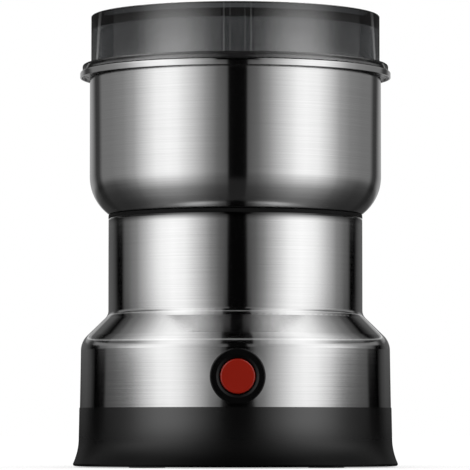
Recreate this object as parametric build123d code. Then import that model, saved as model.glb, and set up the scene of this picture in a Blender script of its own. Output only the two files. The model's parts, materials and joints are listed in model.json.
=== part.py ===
from build123d import *
import math
import os

# Electric spice grinder with a fixed steel bowl, in millimetres.
# The bowl, the motor and the housing share the Z axis. The origin is the middle of the
# footprint, on the plane that the grinder stands on. The push button faces -Y and the
# cord inlet faces +Y. Distances along a part that points sideways are counted outwards
# from the Z axis. The grinder is sized from the inside out and from the bottom up: the
# motor sets the neck, the neck sets the bowl and the shell, and the cover sets the deck.

# Fits
slip_gap = 0.1            # between pieces that slide or drop into each other
running_gap = 0.05        # between a shaft and its bore, on the radius
hole_gap = 0.3            # between a screw's shank and its clearance hole, on the radius
air_gap = 0.5             # between the armature and the poles
free_gap = 1.0            # between the rotor and the brackets round it
overcut = 1.0             # how far a cutting shape runs past what it cuts

# Small screws of the plastic parts
screw_r = 1.4
screw_head_r = 2.7
screw_head_height = 1.2
screw_bite = 8.0          # how far a screw goes into its boss

# Shaft and its bearings
shaft_r = 3.0
shaft_tip_step = 0.5      # the threaded tip is this much thinner
shaft_end = 0.7           # shaft beyond the blade nut
bearing_wall = 2.0
bearing_length = 4.4
cup_wall = 2.5
cup_height = 3.2

# Armature
armature_r = 15.0
stack_height = 20.0
slot_count = 12
slot_width = 2.2
core_hub = 5.0            # iron between the shaft and the slots
winding_inset = 1.0       # the windings stay this far inside the stack
winding_end = 4.5
winding_edge_radius = 1.5
commutator_wall = 6.5
commutator_length = 7.5
commutator_riser_step = 1.3
commutator_riser = 1.2
commutator_bars = 24
commutator_groove = 0.4
commutator_groove_depth = 1.0
commutator_below_stack = 6.0
commutator_to_bracket = 5.5
fan_height = 6.0
fan_disc = 1.0
fan_hub_wall = 3.0
fan_tip_gap = 1.1         # to the bracket's legs
fan_vane = 1.2
fan_vane_count = 9
fan_rim = 0.5             # of the disc, outside the vanes

# Stator
pole_shoe = 2.5
pole_half_angle = 52.0    # degrees
pole_neck_width = 13.0
coil_thickness = 3.6
coil_half_width = 15.0
coil_inner_half_width = 7.0
coil_overhang = 6.0
coil_clearance = 0.3
coil_corner_r = 4.0
coil_to_side = 4.5        # from a coil to the core's side limb
end_yoke = 4.0
side_yoke = 6.5
corner_wall = 2.6         # core outside the window's corners

# Motor brackets, their screws and the rubber mounts
bracket_sheet = 1.8
bracket_half_width = 9.0
bracket_foot = 5.0
bracket_ear_reach = 7.1
bracket_ear_r = 4.5
bracket_above_deck = 3.3
motor_screw_r = 1.5
motor_screw_head_r = 2.4
motor_screw_head = 1.6
damper_r = 5.0
mount_screw_bite = 1.5
motor_nut = 2.0
thread_proud = 0.5

# Brushes, along +X and -X
brush_width = 6.8
brush_height = 5.2
brush_length = 12.9
brush_gap = 0.1           # to the commutator
brush_spring_r = 2.0
brush_spring_length = 7.8
brush_spring_turns = 6
holder_wall = 0.7
holder_to_riser = 0.4
holder_flange = 0.8
holder_flange_rim = 2.6

# Motor carrier, the moulded frame between bowl, shell and base
carrier_plate = 4.0
carrier_gap = 0.4         # to the shell's inner wall
carrier_edge = 1.2        # plate outside the posts
carrier_post_r = 3.5
carrier_post_to_core = 2.0
carrier_post_angles = (45, 135, 225, 315)
carrier_slot_count = 8
carrier_slot_width = 4.0
carrier_slot_length = 8.0
carrier_slot_to_nut = 5.6
carrier_boss_r = 5.0
carrier_boss_height = 3.5

# Bowl bush, its nut and its seal
bush_flange_rim = 3.5
bush_flange = 1.5
bush_wall = 1.5           # round the seal
bush_hole_gap = 0.1
bush_nut_rim = 3.9
bush_nut = 3.1
seal_wall = 2.0
seal_height = 1.0

# Bottom cover, its feet and its screws
cover_z = 0.8
cover_thickness = 2.0
cover_gap = 0.4
vent_count = 12
vent_inner_r = 14.0
vent_length = 16.0
vent_width = 3.0
foot_r = 6.0
foot_stem_r = 2.0
foot_head_r = 2.9
foot_head_height = 1.4
foot_inset = 8.3          # from the skirt's inner wall to a foot's middle
foot_angles = (45, 135, 225, 315)
cover_screw_inset = 6.3
cover_screw_angles = (20, 160, 200, 340)
boss_r = 3.3
boss_roof = 1.0           # left above a blind screw hole

# Cord inlet and clamp, along +Y
inlet_bore_r = 3.1
inlet_wall = 0.9
inlet_flange_rim = 1.4
inlet_proud = 1.5
inlet_back_rim = 0.15
inlet_depth = 4.5
inlet_to_deck = 0.05
clamp_outside_posts = 2.5
clamp_above_cover = 0.6
clamp_floor = 1.3         # under the cord's groove
clamp_width = 6.0
clamp_half_length = 11.0
clamp_thickness = 2.9
clamp_screw_x = 8.0
clamp_boss_r = 2.6
clamp_screw_bite = 2.5

# Base skirt, the moulded foot of the housing
skirt_edge_z = 0.3
skirt_flare_z = 9.8
skirt_top_z = 20.0
skirt_step = 0.2          # the skirt's top edge outside the shell's lower edge
skirt_taper = 0.2
skirt_flare = 2.35        # before its edge is rounded
skirt_wall = 2.7
skirt_edge_radius = 0.7
spigot_height = 4.0       # collar that locates the shell's lower edge
deck_thickness = 2.2
deck_inside_posts = 11.5  # from the posts' middle to the deck's opening

# Body shell, one drawn steel sheet
sheet = 0.6
shell_taper = 0.35
shoulder_step = 9.25
shoulder_above_collar = 3.3
shoulder_slope = 45.8     # degrees from upright
shoulder_radius = 7.0
neck_radius = 3.5
lip_radius = 2.2
lip_height = 2.5          # the shell's top edge above the bowl's seat

# Bowl, fixed on top of the shell
bowl_overhang = 6.4      # outside the neck
bowl_corner_r = 15.8
bowl_depth = 51.65
rim_overhang = 3.3
rim_lip = 2.2
rim_bend = 0.3
seam_gap = 0.15

# Lid, one clear moulding
lid_height = 19.0         # above the bowl's rim
lid_inset = 0.5           # inside the bowl's outer wall
lid_wall = 1.2
lid_rim = 4.0             # width of the raised rim round the plate
lid_plate_recess = 2.3
lid_plate = 2.3
lid_flange_inset = 0.8    # inside the rim's edge
lid_flange = 2.3
lid_edge_radius = 0.6
lid_spigot_gap = 0.35     # to the bowl's inner wall
lid_spigot_depth = 4.0
lid_liner_inset = 3.45    # inner wall that keeps powder off the joint
lid_liner_wall = 1.65
lid_liner_depth = 2.0
rib_r = 0.6
rib_proud = 0.45
rib_pitch = 2.04
rib_count = 5
rib_groups = 4

# Push button and switch, along -Y
button_travel = 2.5
button_clearance = 0.5    # behind the cap when pressed
cap_r = 5.7
cap_gap = 0.2
cap_proud = 0.45
cap_length = 5.6
cap_edge = 0.35
cap_skirt = 0.9           # skirt's rim outside the cap
cap_skirt_length = 1.0
collar_dish_width = 1.3
collar_dish = 0.5
collar_rim = 1.15         # outside the threaded neck
collar_proud = 1.95
collar_edge_radius = 0.5
collar_above_skirt = 0.85
switch_neck_wall = 1.1
switch_nut_rim = 2.4
switch_nut_thickness = 2.5
housing_step = 0.4        # the switch housing inside its neck's outer wall
housing_wall = 1.4
housing_length = 15.5
housing_front = 2.0
plunger_r = 2.0
plunger_tip_r = 1.2
plunger_tip_length = 1.6
bridge_gap = 0.7          # to the housing's inner wall
bridge_width = 4.0
bridge_thickness = 0.8
contact_inset = 1.5       # from the bridge's end to a contact's middle
contact_size = 1.8
contact_tail = 4.0        # beyond the back of the switch housing
switch_spring_r = 2.2
spring_wire_r = 0.3
spring_turns = 5
spring_slack = 0.9        # between the coils when pressed

# Blade, on the shaft in the bowl
spacer_wall = 2.0
spacer_length = 3.4
blade_hub_rim = 2.5
blade_thickness = 1.8
blade_to_wall = 14.85     # from a tip to the bowl's inner wall
blade_width = 11.0
blade_tip_width = 6.0
blade_rise_angle = 16.0   # degrees that the raised arm bends up
blade_drop_angle = 4.0    # degrees that the low arm bends down
blade_edge = 3.0          # width of the ground edge
blade_edge_land = 0.35    # thickness left at the ground edge
blade_root = 2.0          # how far an arm runs into the hub, and slants at its tip
blade_washer_rim = 3.5
blade_washer = 1.0
blade_nut_rim = 3.0
blade_nut = 4.0

# Electrical parts on the deck
terminal_block_size = (22.0, 10.0, 8.0)
terminal_outside_posts = 1.0
terminal_x = 5.5
terminal_r = 2.2
terminal_depth = 5.0
terminal_sunk = 1.0
terminal_slot = 0.8
capacitor_size = (8.0, 17.0, 12.0)
cutout_size = (6.0, 12.0, 5.0)
cutout_tab = (0.8, 4.0, 3.0)
lead_r = 0.8
lead_to_post = 3.5
lead_angles = (120, 150, 180, 210, 240)
lead_bend = 3.0
lead_exit = 4.0           # straight run out of the terminal block

# Places worked out from the sizes above: the motor, from the shaft outwards
shaft_tip_r = shaft_r - shaft_tip_step
bearing_r = shaft_r + bearing_wall
cup_r = bearing_r + cup_wall
slot_bottom_r = shaft_r + core_hub
winding_r = armature_r - winding_inset
commutator_r = shaft_r + commutator_wall
commutator_riser_r = commutator_r + commutator_riser_step
stator_bore_r = armature_r + air_gap
coil_inner_y = stator_bore_r + pole_shoe + coil_clearance
coil_outer_y = coil_inner_y + coil_thickness
stator_window_x = 2 * (coil_half_width + coil_to_side)
stator_window_y = 2 * (coil_outer_y + slip_gap)
stator_x = stator_window_x + 2 * side_yoke
stator_y = stator_window_y + 2 * end_yoke
stator_corner_r = math.hypot(stator_window_x, stator_window_y) / 2 + corner_wall
bracket_leg_x = stator_window_x / 2 + slip_gap
bracket_leg_out = bracket_leg_x + bracket_sheet
bracket_ear_x = bracket_leg_out + bracket_ear_reach
motor_screw_x = bracket_leg_out + bracket_foot / 2
fan_r = bracket_leg_x - fan_tip_gap
fan_hub_r = shaft_r + fan_hub_wall
brush_start = commutator_r + brush_gap
brush_end = brush_start + brush_length
holder_start = commutator_riser_r + holder_to_riser
holder_end = brush_end + brush_spring_length + holder_wall

# The housing, from the motor outwards
carrier_post_circle_r = stator_corner_r + carrier_post_to_core + carrier_post_r
carrier_r = carrier_post_circle_r + carrier_post_r + carrier_edge
neck_r = carrier_r + carrier_gap + sheet
shell_shoulder_r = neck_r + shoulder_step
shell_bottom_r = shell_shoulder_r + shell_taper
skirt_top_r = shell_bottom_r + skirt_step
skirt_flare_r = skirt_top_r + skirt_taper
skirt_foot_r = skirt_flare_r + skirt_flare
skirt_inner_r = skirt_top_r - skirt_wall
deck_opening_r = carrier_post_circle_r - deck_inside_posts
foot_circle_r = skirt_inner_r - foot_inset
cover_screw_circle_r = skirt_inner_r - cover_screw_inset
bowl_r = neck_r + bowl_overhang
bowl_inner_r = bowl_r - sheet
rim_r = bowl_r + rim_overhang
lid_r = bowl_r - lid_inset
lid_flange_r = rim_r - lid_flange_inset
lid_liner_r = lid_r - lid_liner_inset

# Heights, from the cover upwards
cover_top_z = cover_z + cover_thickness
clamp_z = cover_top_z + clamp_above_cover
clamp_y = carrier_post_circle_r + clamp_outside_posts
inlet_neck_r = inlet_bore_r + inlet_wall
inlet_flange_r = inlet_neck_r + inlet_flange_rim
inlet_back_flange_r = inlet_neck_r + inlet_back_rim
inlet_z = clamp_z + clamp_floor + inlet_bore_r
deck_z = inlet_z + inlet_back_flange_r + inlet_to_deck
deck_top_z = deck_z + deck_thickness
lower_bracket_z = deck_z + bracket_above_deck
lower_bracket_top_z = lower_bracket_z + bracket_sheet
shaft_z = lower_bracket_z - cup_height
commutator_z = lower_bracket_top_z + commutator_to_bracket
commutator_top_z = commutator_z + commutator_length
brush_z = commutator_z + (commutator_length - commutator_riser) / 2
stator_z = commutator_top_z + commutator_below_stack
stator_top_z = stator_z + stack_height
fan_z = stator_top_z + coil_overhang + free_gap
fan_top_z = fan_z + fan_height
upper_bracket_z = fan_top_z + free_gap
upper_bracket_top_z = upper_bracket_z + bracket_sheet
bush_nut_z = upper_bracket_top_z + cup_height + free_gap / 2
carrier_z = bush_nut_z + bush_nut
bowl_seat_z = carrier_z + carrier_plate
bowl_floor_z = bowl_seat_z + sheet
rim_z = bowl_seat_z + bowl_depth
lid_top_z = rim_z + lid_height
lid_plate_top_z = lid_top_z - lid_plate_recess
lid_plate_z = lid_plate_top_z - lid_plate

# The bush and the blade
seal_r = shaft_r + seal_wall
bush_r = seal_r + bush_wall
bush_flange_r = bush_r + bush_flange_rim
bush_nut_r = bush_r + bush_nut_rim
carrier_slot_inner_r = bush_nut_r + carrier_slot_to_nut
bush_top_z = bowl_floor_z + bush_flange
spacer_r = shaft_r + spacer_wall
spacer_z = bush_top_z + hole_gap
blade_z = spacer_z + spacer_length
blade_hub_r = spacer_r + blade_hub_rim
blade_tip_r = bowl_inner_r - blade_to_wall
blade_washer_r = shaft_tip_r + blade_washer_rim
blade_washer_z = blade_z + blade_thickness
blade_nut_r = shaft_tip_r + blade_nut_rim
blade_nut_z = blade_washer_z + blade_washer
shaft_top_z = blade_nut_z + blade_nut + shaft_end

# The switch, from its cap outwards and from its collar inwards
cap_skirt_r = cap_r + cap_skirt
collar_dish_r = cap_r + collar_dish_width
switch_neck_bore_r = cap_skirt_r + hole_gap
switch_neck_r = switch_neck_bore_r + switch_neck_wall
switch_nut_r = switch_neck_r + switch_nut_rim
collar_r = switch_neck_r + collar_rim
housing_r = switch_neck_r - housing_step
bridge_half_length = housing_r - housing_wall - bridge_gap
contact_x = bridge_half_length - contact_inset
contact_gap = button_travel + hole_gap
button_z = skirt_top_z + collar_above_skirt + collar_r
shoulder_z = button_z + collar_r + shoulder_above_collar
shell_front = (shell_shoulder_r + (shell_bottom_r - shell_shoulder_r)
               * (shoulder_z - button_z) / (shoulder_z - skirt_top_z))
collar_face = shell_front + collar_proud
cap_face = collar_face + cap_proud
cap_back = cap_face - cap_length
neck_end = cap_back - button_travel - button_clearance
housing_back = neck_end - housing_length
spring_pressed = spring_wire_r * 2 * spring_turns + spring_slack
bridge_back = housing_back + housing_wall + spring_pressed + button_travel

# The electrical parts
terminal_block_y = carrier_post_circle_r + terminal_outside_posts
lead_ring_r = carrier_post_circle_r - carrier_post_r - lead_to_post
lead_z = deck_top_z + lead_r + slip_gap


def polar(radius, angle):
    """X and Y of a point at a radius and an angle in degrees."""
    turn = math.radians(angle)
    return radius * math.cos(turn), radius * math.sin(turn)


def disc(radius, low, high):
    """Solid cylinder on the axis between two heights."""
    return extrude(Plane.XY.offset(low) * Circle(radius), high - low)


def tube(outer, inner, low, high):
    """Hollow cylinder on the axis between two heights."""
    return extrude(Plane.XY.offset(low) * (Circle(outer) - Circle(inner)), high - low)


def block(low, high):
    """Box between its lowest and its highest corner."""
    size = [b - a for a, b in zip(low, high)]
    middle = [(a + b) / 2 for a, b in zip(low, high)]
    return Pos(*middle) * Box(*size)


def hexagon(radius, low, high):
    """Six-sided nut blank on the axis, by the radius of its corners."""
    return extrude(Plane.XY.offset(low) * RegularPolygon(radius, 6), high - low)


def lathe(*points):
    """Solid turned about the Z axis from an outline of radius and height."""
    return revolve(Plane.XZ * make_face(Polyline(*points, close=True)), Axis.Z)


def facing_front(shape, height):
    """Turn a shape built along +Z to point along -Y at a height."""
    return Pos(0, 0, height) * Rot(90, 0, 0) * shape


def facing_back(shape, height):
    """Turn a shape built along +Z to point along +Y at a height."""
    return Pos(0, 0, height) * Rot(-90, 0, 0) * shape


def facing_side(shape, height, side):
    """Turn a shape built along +Z to point along +X (side 1) or -X (side -1)."""
    return Pos(0, 0, height) * Rot(0, 90 * side, 0) * shape


def screw(length, low, shank_r=screw_r, head_r=screw_head_r, head=screw_head_height):
    """Upright screw with its head at the bottom; low is the seat under the head."""
    return disc(head_r, low - head, low) + disc(shank_r, low, low + length)


def spring(coil_r, length, turns, start):
    """Round-wire compression spring along +Z from a start height."""
    rise = length - 2 * spring_wire_r
    path = Helix(pitch=rise / turns, height=rise, radius=coil_r)
    wire = Plane(path @ 0, z_dir=path % 0) * Circle(spring_wire_r)
    return Pos(0, 0, start + spring_wire_r) * sweep(wire, path=path, is_frenet=True)


def shifted_path(points, gap):
    """The points of a path moved sideways to its left by a gap."""
    ways = [(Vector(*b) - Vector(*a)).normalized() for a, b in zip(points, points[1:])]
    sides = [Vector(-way.Y, way.X) for way in ways]
    moved = [Vector(*points[0]) + sides[0] * gap]
    for point, before, after in zip(points[1:-1], sides, sides[1:]):
        moved.append(Vector(*point) + (before + after) * (gap / (1 + before.dot(after))))
    moved.append(Vector(*points[-1]) + sides[-1] * gap)
    return [(point.X, point.Y) for point in moved]


def sheet_section(points, radii):
    """Section of a bent sheet: a path, the same path one sheet to its left, and both ends."""
    inner_radii = []
    for before, corner, after, radius in zip(points, points[1:], points[2:], radii):
        way_in = Vector(*corner) - Vector(*before)
        way_out = Vector(*after) - Vector(*corner)
        turns_left = way_in.X * way_out.Y - way_in.Y * way_out.X > 0
        inner_radii.append(radius - sheet if turns_left else radius + sheet)
    inner_points = shifted_path(points, sheet)
    outer = FilletPolyline(*points, radius=radii)
    inner = FilletPolyline(*inner_points, radius=inner_radii)
    ends = Line(points[0], inner_points[0]) + Line(points[-1], inner_points[-1])
    return make_face(outer + inner + ends)


def bowl_outside_r(height):
    """Outer radius of the bowl at a height in its lower corner."""
    rise = bowl_seat_z + bowl_corner_r - height
    return bowl_r - bowl_corner_r + math.sqrt(bowl_corner_r ** 2 - rise ** 2)


def base_skirt():
    """Flared foot with its inner deck, the bosses below it and the collar for the shell."""
    flare_drop = skirt_flare_z - skirt_edge_z
    flare_run = skirt_foot_r - skirt_flare_r
    flare_radius = (flare_drop ** 2 + flare_run ** 2) / (2 * flare_run)
    half_way = math.asin(flare_drop / flare_radius) / 2
    flare_middle = (skirt_flare_r + flare_radius * (1 - math.cos(half_way)),
                    skirt_flare_z - flare_radius * math.sin(half_way))
    outline = (Line((skirt_top_r, skirt_top_z), (skirt_flare_r, skirt_flare_z))
               + ThreePointArc((skirt_flare_r, skirt_flare_z), flare_middle,
                               (skirt_foot_r, skirt_edge_z))
               + Polyline((skirt_foot_r, skirt_edge_z), (skirt_inner_r, skirt_edge_z),
                          (skirt_inner_r, skirt_top_z), (skirt_top_r, skirt_top_z)))
    section = make_face(outline)
    foot_corner = section.vertices().sort_by(Axis.X)[-1]
    skirt = revolve(Plane.XZ * fillet(foot_corner, skirt_edge_radius), Axis.Z)
    spigot_r = shell_bottom_r - sheet - slip_gap * 2
    skirt += tube(spigot_r, skirt_inner_r, skirt_top_z, skirt_top_z + spigot_height)
    skirt += tube(skirt_inner_r, deck_opening_r, deck_z, deck_top_z)
    for angle in cover_screw_angles:
        skirt += Pos(*polar(cover_screw_circle_r, angle)) * disc(boss_r, cover_top_z, deck_z)
    for x in (-clamp_screw_x, clamp_screw_x):
        skirt += Pos(x, clamp_y) * disc(clamp_boss_r, clamp_z + clamp_thickness, deck_z)
    return skirt - skirt_holes()


def skirt_holes():
    """Screw holes, the cord inlet's hole and the room for the switch nut."""
    holes = facing_back(disc(inlet_neck_r, skirt_inner_r - free_gap, skirt_foot_r), inlet_z)
    nut_room = disc(switch_nut_r + free_gap, neck_end, shell_front - sheet + slip_gap)
    holes += facing_front(nut_room, button_z)
    for angle in cover_screw_angles:
        holes += Pos(*polar(cover_screw_circle_r, angle)) * disc(screw_r, cover_z, deck_z - boss_roof)
    for angle in carrier_post_angles:
        place = Pos(*polar(carrier_post_circle_r, angle))
        holes += place * disc(screw_r + hole_gap, cover_z, deck_top_z)
    for x in (-clamp_screw_x, clamp_screw_x):
        holes += Pos(x, clamp_y) * disc(screw_r, clamp_z, deck_z - boss_roof)
    return holes


def bottom_cover():
    """Plate that closes the base, with vents, foot holes and sunk screw holes."""
    cover = disc(skirt_inner_r - cover_gap, cover_z, cover_top_z)
    slot = SlotOverall(vent_length, vent_width)
    slot_cut = extrude(Plane.XY.offset(cover_z) * slot, cover_thickness)
    for turn in range(vent_count):
        middle = Pos(vent_inner_r + vent_length / 2, 0)
        cover -= Rot(0, 0, turn * 360 / vent_count) * middle * slot_cut
    for angle in foot_angles:
        cover -= Pos(*polar(foot_circle_r, angle)) * disc(foot_stem_r, cover_z, cover_top_z)
    for angle in cover_screw_angles:
        place = Pos(*polar(cover_screw_circle_r, angle))
        cover -= place * disc(screw_r + hole_gap, cover_z, cover_top_z)
        cover -= place * disc(screw_head_r + hole_gap, cover_z, cover_z + screw_head_height)
    return cover


def rubber_feet():
    """Four push-through feet."""
    foot = disc(foot_r, 0, cover_z) + disc(foot_stem_r, cover_z, cover_top_z)
    foot += disc(foot_head_r, cover_top_z, cover_top_z + foot_head_height)
    return [Pos(*polar(foot_circle_r, angle)) * foot for angle in foot_angles]


def bottom_cover_screws():
    """Screws that hold the cover to the bosses under the deck."""
    one = screw(screw_bite, cover_z + screw_head_height)
    return [Pos(*polar(cover_screw_circle_r, angle)) * one for angle in cover_screw_angles]


def body_shell():
    """Drawn steel shell: wide foot, sloped shoulder, narrow neck and a turned-in lip."""
    slope = math.tan(math.radians(shoulder_slope))
    neck_foot_z = shoulder_z + (shell_shoulder_r - neck_r) / slope
    lip_z = bowl_seat_z + lip_height
    lip_edge_r = bowl_outside_r(lip_z) + seam_gap
    lean = math.acos(max(0.0, 1 - (neck_r - lip_edge_r) / lip_radius))
    lip_corner_z = lip_z - lip_radius * (math.sin(lean) - math.tan(lean / 2))
    points = [(shell_bottom_r, skirt_top_z), (shell_shoulder_r, shoulder_z),
              (neck_r, neck_foot_z), (neck_r, lip_corner_z), (lip_edge_r, lip_z)]
    section = sheet_section(points, [shoulder_radius, neck_radius, lip_radius - slip_gap])
    shell = revolve(Plane.XZ * section, Axis.Z) - disc(skirt_foot_r, 0, skirt_top_z)
    hole = disc(switch_neck_r + slip_gap, neck_end, collar_face)
    return shell - facing_front(hole, button_z)


def bowl():
    """Deep drawn bowl with a wide corner radius and a turned-down rim."""
    hole_r = bush_r + bush_hole_gap
    lip_r = rim_r - sheet
    under_rim_z = rim_z - sheet
    points = [(hole_r, bowl_seat_z), (bowl_r, bowl_seat_z), (bowl_r, under_rim_z),
              (lip_r, under_rim_z), (lip_r, rim_z - rim_lip)]
    return revolve(Plane.XZ * sheet_section(points, [bowl_corner_r, rim_bend, rim_bend]), Axis.Z)


def bowl_bush():
    """Flanged bush that clamps the bowl and guides the shaft."""
    bush = disc(bush_flange_r, bowl_floor_z, bush_top_z) + disc(bush_r, bush_nut_z, bowl_floor_z)
    bush -= disc(shaft_r + running_gap, bush_nut_z, bush_top_z)
    return bush - disc(seal_r, bush_top_z - seal_height, bush_top_z)


def shaft_seal():
    """Rubber ring in the top of the bush."""
    return tube(seal_r, shaft_r + running_gap, bush_top_z - seal_height, bush_top_z)


def bowl_bush_nut():
    """Nut under the motor carrier that pulls the bowl down."""
    return hexagon(bush_nut_r, bush_nut_z, carrier_z) - disc(bush_r, bush_nut_z, carrier_z)


def motor_carrier():
    """Moulded plate under the bowl with four posts down to the deck."""
    carrier = disc(carrier_r, carrier_z, bowl_seat_z)
    carrier -= disc(bush_r + bush_hole_gap, carrier_z, bowl_seat_z)
    slot = SlotOverall(carrier_slot_length, carrier_slot_width)
    slot_cut = extrude(Plane.XY.offset(carrier_z) * slot, carrier_plate)
    middle = Pos(carrier_slot_inner_r + carrier_slot_length / 2, 0)
    for turn in range(carrier_slot_count):
        carrier -= Rot(0, 0, (turn + 0.5) * 360 / carrier_slot_count) * middle * slot_cut
    post = disc(carrier_post_r, deck_top_z, carrier_z)
    post -= disc(screw_r, deck_top_z, deck_top_z + screw_bite + overcut)
    for angle in carrier_post_angles:
        carrier += Pos(*polar(carrier_post_circle_r, angle)) * post
    for x in (-bracket_ear_x, bracket_ear_x):
        carrier += Pos(x, 0) * disc(carrier_boss_r, carrier_z - carrier_boss_height, carrier_z)
        carrier -= Pos(x, 0) * disc(screw_r, carrier_z - carrier_boss_height, carrier_z + mount_screw_bite)
    return carrier


def carrier_screws():
    """Screws up through the deck into the carrier's posts."""
    one = screw(deck_thickness + screw_bite, deck_z)
    return [Pos(*polar(carrier_post_circle_r, angle)) * one for angle in carrier_post_angles]


def motor_bracket(cross_low, cup_low, leg_low, leg_high, foot_low, reach, half_width):
    """Folded bracket: cross strap, two legs, two feet and a bearing cup."""
    cross_high = cross_low + bracket_sheet
    bracket = block((-reach, -half_width, cross_low), (reach, half_width, cross_high))
    for side in (-1, 1):
        leg_edges = sorted((side * bracket_leg_x, side * bracket_leg_out))
        foot_edges = sorted((side * bracket_leg_out, side * (bracket_leg_out + bracket_foot)))
        bracket += block((leg_edges[0], -half_width, leg_low), (leg_edges[1], half_width, leg_high))
        bracket += block((foot_edges[0], -half_width, foot_low),
                         (foot_edges[1], half_width, foot_low + bracket_sheet))
        hole = disc(motor_screw_r + slip_gap, foot_low, foot_low + bracket_sheet)
        bracket -= Pos(side * motor_screw_x, 0) * hole
    bracket += disc(cup_r, cup_low, cup_low + cup_height + bracket_sheet)
    return bracket - disc(bearing_r, cup_low, cup_low + cup_height + bracket_sheet)


def upper_bracket():
    """Bracket over the fan, with ears for the rubber mounts."""
    bracket = motor_bracket(upper_bracket_z, upper_bracket_z, stator_top_z, upper_bracket_z,
                            stator_top_z, bracket_leg_out, bracket_half_width)
    for x in (-bracket_ear_x, bracket_ear_x):
        arm = sorted((math.copysign(bracket_leg_x, x), x))
        ear = block((arm[0], -bracket_ear_r, upper_bracket_z), (arm[1], bracket_ear_r, upper_bracket_top_z))
        bracket += ear + Pos(x, 0) * disc(bracket_ear_r, upper_bracket_z, upper_bracket_top_z)
        bracket -= Pos(x, 0) * disc(screw_r + hole_gap, upper_bracket_z, upper_bracket_top_z)
    return bracket


def lower_bracket():
    """Bracket under the armature, with windows for the brush holders."""
    bracket = motor_bracket(lower_bracket_z, shaft_z, lower_bracket_top_z, stator_z,
                            stator_z - bracket_sheet, bracket_leg_out, bracket_half_width)
    half_y = brush_width / 2 + slip_gap + holder_wall + slip_gap
    half_z = brush_height / 2 + slip_gap + holder_wall + slip_gap
    window = block((-bracket_leg_out, -half_y, brush_z - half_z),
                   (bracket_leg_out, half_y, brush_z + half_z))
    return bracket - window


def bearing(low):
    """Sintered bush in a bracket's cup."""
    return tube(bearing_r, shaft_r + running_gap, low, low + bearing_length)


def stator_core():
    """Laminated stack with two poles, a window round each coil and two screw holes."""
    outline = Rectangle(stator_x, stator_y) & Circle(stator_corner_r)
    window = Rectangle(stator_window_x, stator_window_y)
    spread = stator_window_y * math.tan(math.radians(pole_half_angle))
    wedge = Polygon((0, 0), (spread, stator_window_y), (-spread, stator_window_y))
    shoe_ring = Circle(stator_bore_r + pole_shoe) - Circle(stator_bore_r)
    shoe = shoe_ring & wedge
    neck_height = stator_window_y / 2 - stator_bore_r
    neck = Pos(0, stator_bore_r + neck_height / 2) * Rectangle(pole_neck_width, neck_height)
    neck -= Circle(stator_bore_r)
    pole = shoe + neck
    section = outline - window + pole + Rot(0, 0, 180) * pole
    for x in (-motor_screw_x, motor_screw_x):
        section -= Pos(x, 0) * Circle(motor_screw_r + slip_gap)
    return extrude(Plane.XY.offset(stator_z) * section, stack_height)


def field_coils():
    """Two taped coils, one round the neck of each pole."""
    height = stack_height + 2 * coil_overhang
    opening_height = stack_height + 2 * coil_clearance
    ring = (RectangleRounded(2 * coil_half_width, height, coil_corner_r)
            - RectangleRounded(2 * coil_inner_half_width, opening_height, coil_clearance))
    coil = extrude(Plane.XZ.offset(coil_inner_y) * ring, coil_thickness)
    middle_z = stator_z + stack_height / 2
    return [Pos(0, 0, middle_z) * Rot(0, 0, turn) * coil for turn in (0, 180)]


def motor_through_screws():
    """Two long screws that clamp the brackets on the stator."""
    seat = stator_z - bracket_sheet
    length = stack_height + 2 * bracket_sheet + motor_nut + thread_proud
    one = screw(length, seat, motor_screw_r, motor_screw_head_r, motor_screw_head)
    return [Pos(x, 0) * one for x in (-motor_screw_x, motor_screw_x)]


def motor_screw_nuts():
    """Nuts on the long screws."""
    low = stator_top_z + bracket_sheet
    one = hexagon(motor_screw_head_r, low, low + motor_nut)
    one -= disc(motor_screw_r, low, low + motor_nut)
    return [Pos(x, 0) * one for x in (-motor_screw_x, motor_screw_x)]


def motor_dampers():
    """Rubber washers between the bracket's ears and the carrier's bosses."""
    high = carrier_z - carrier_boss_height
    one = tube(damper_r, screw_r + slip_gap, upper_bracket_top_z, high)
    return [Pos(x, 0) * one for x in (-bracket_ear_x, bracket_ear_x)]


def motor_mount_screws():
    """Screws that hang the motor from the carrier."""
    length = carrier_z - upper_bracket_z + mount_screw_bite
    one = screw(length, upper_bracket_z)
    return [Pos(x, 0) * one for x in (-bracket_ear_x, bracket_ear_x)]


def motor_shaft():
    """Shaft with a thinner threaded tip for the blade nut."""
    return disc(shaft_r, shaft_z, blade_z) + disc(shaft_tip_r, blade_z, shaft_top_z)


def armature_core():
    """Slotted lamination stack on the shaft."""
    core = disc(armature_r, stator_z, stator_top_z) - disc(shaft_r, stator_z, stator_top_z)
    half = slot_width / 2
    slot = block((slot_bottom_r, -half, stator_z), (armature_r + overcut, half, stator_top_z))
    for turn in range(slot_count):
        core -= Rot(0, 0, turn * 360 / slot_count) * slot
    return core


def armature_windings():
    """Copper in the slots and the end turns above and below the stack."""
    end_inner_r = shaft_r + free_gap
    windings = Part()
    for low in (stator_z - winding_end, stator_top_z):
        ring = tube(winding_r, end_inner_r, low, low + winding_end)
        edges = ring.edges().filter_by(GeomType.CIRCLE).sort_by(SortBy.RADIUS)[-2:]
        windings += fillet(edges, winding_edge_radius)
    half = slot_width / 2 - slip_gap
    outer = winding_r - winding_edge_radius
    bar = block((slot_bottom_r + slip_gap, -half, stator_z - winding_end / 2),
                (outer, half, stator_top_z + winding_end / 2))
    for turn in range(slot_count):
        windings += Rot(0, 0, turn * 360 / slot_count) * bar
    return windings


def commutator():
    """Copper drum with grooves between its bars."""
    drum = disc(commutator_r, commutator_z, commutator_top_z)
    drum += disc(commutator_riser_r, commutator_top_z - commutator_riser, commutator_top_z)
    drum -= disc(shaft_r, commutator_z, commutator_top_z)
    half = commutator_groove / 2
    groove = block((commutator_r - commutator_groove_depth, -half, commutator_z),
                   (commutator_riser_r + overcut, half, commutator_top_z))
    for turn in range(commutator_bars):
        drum -= Rot(0, 0, (turn + 0.5) * 360 / commutator_bars) * groove
    return drum


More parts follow.
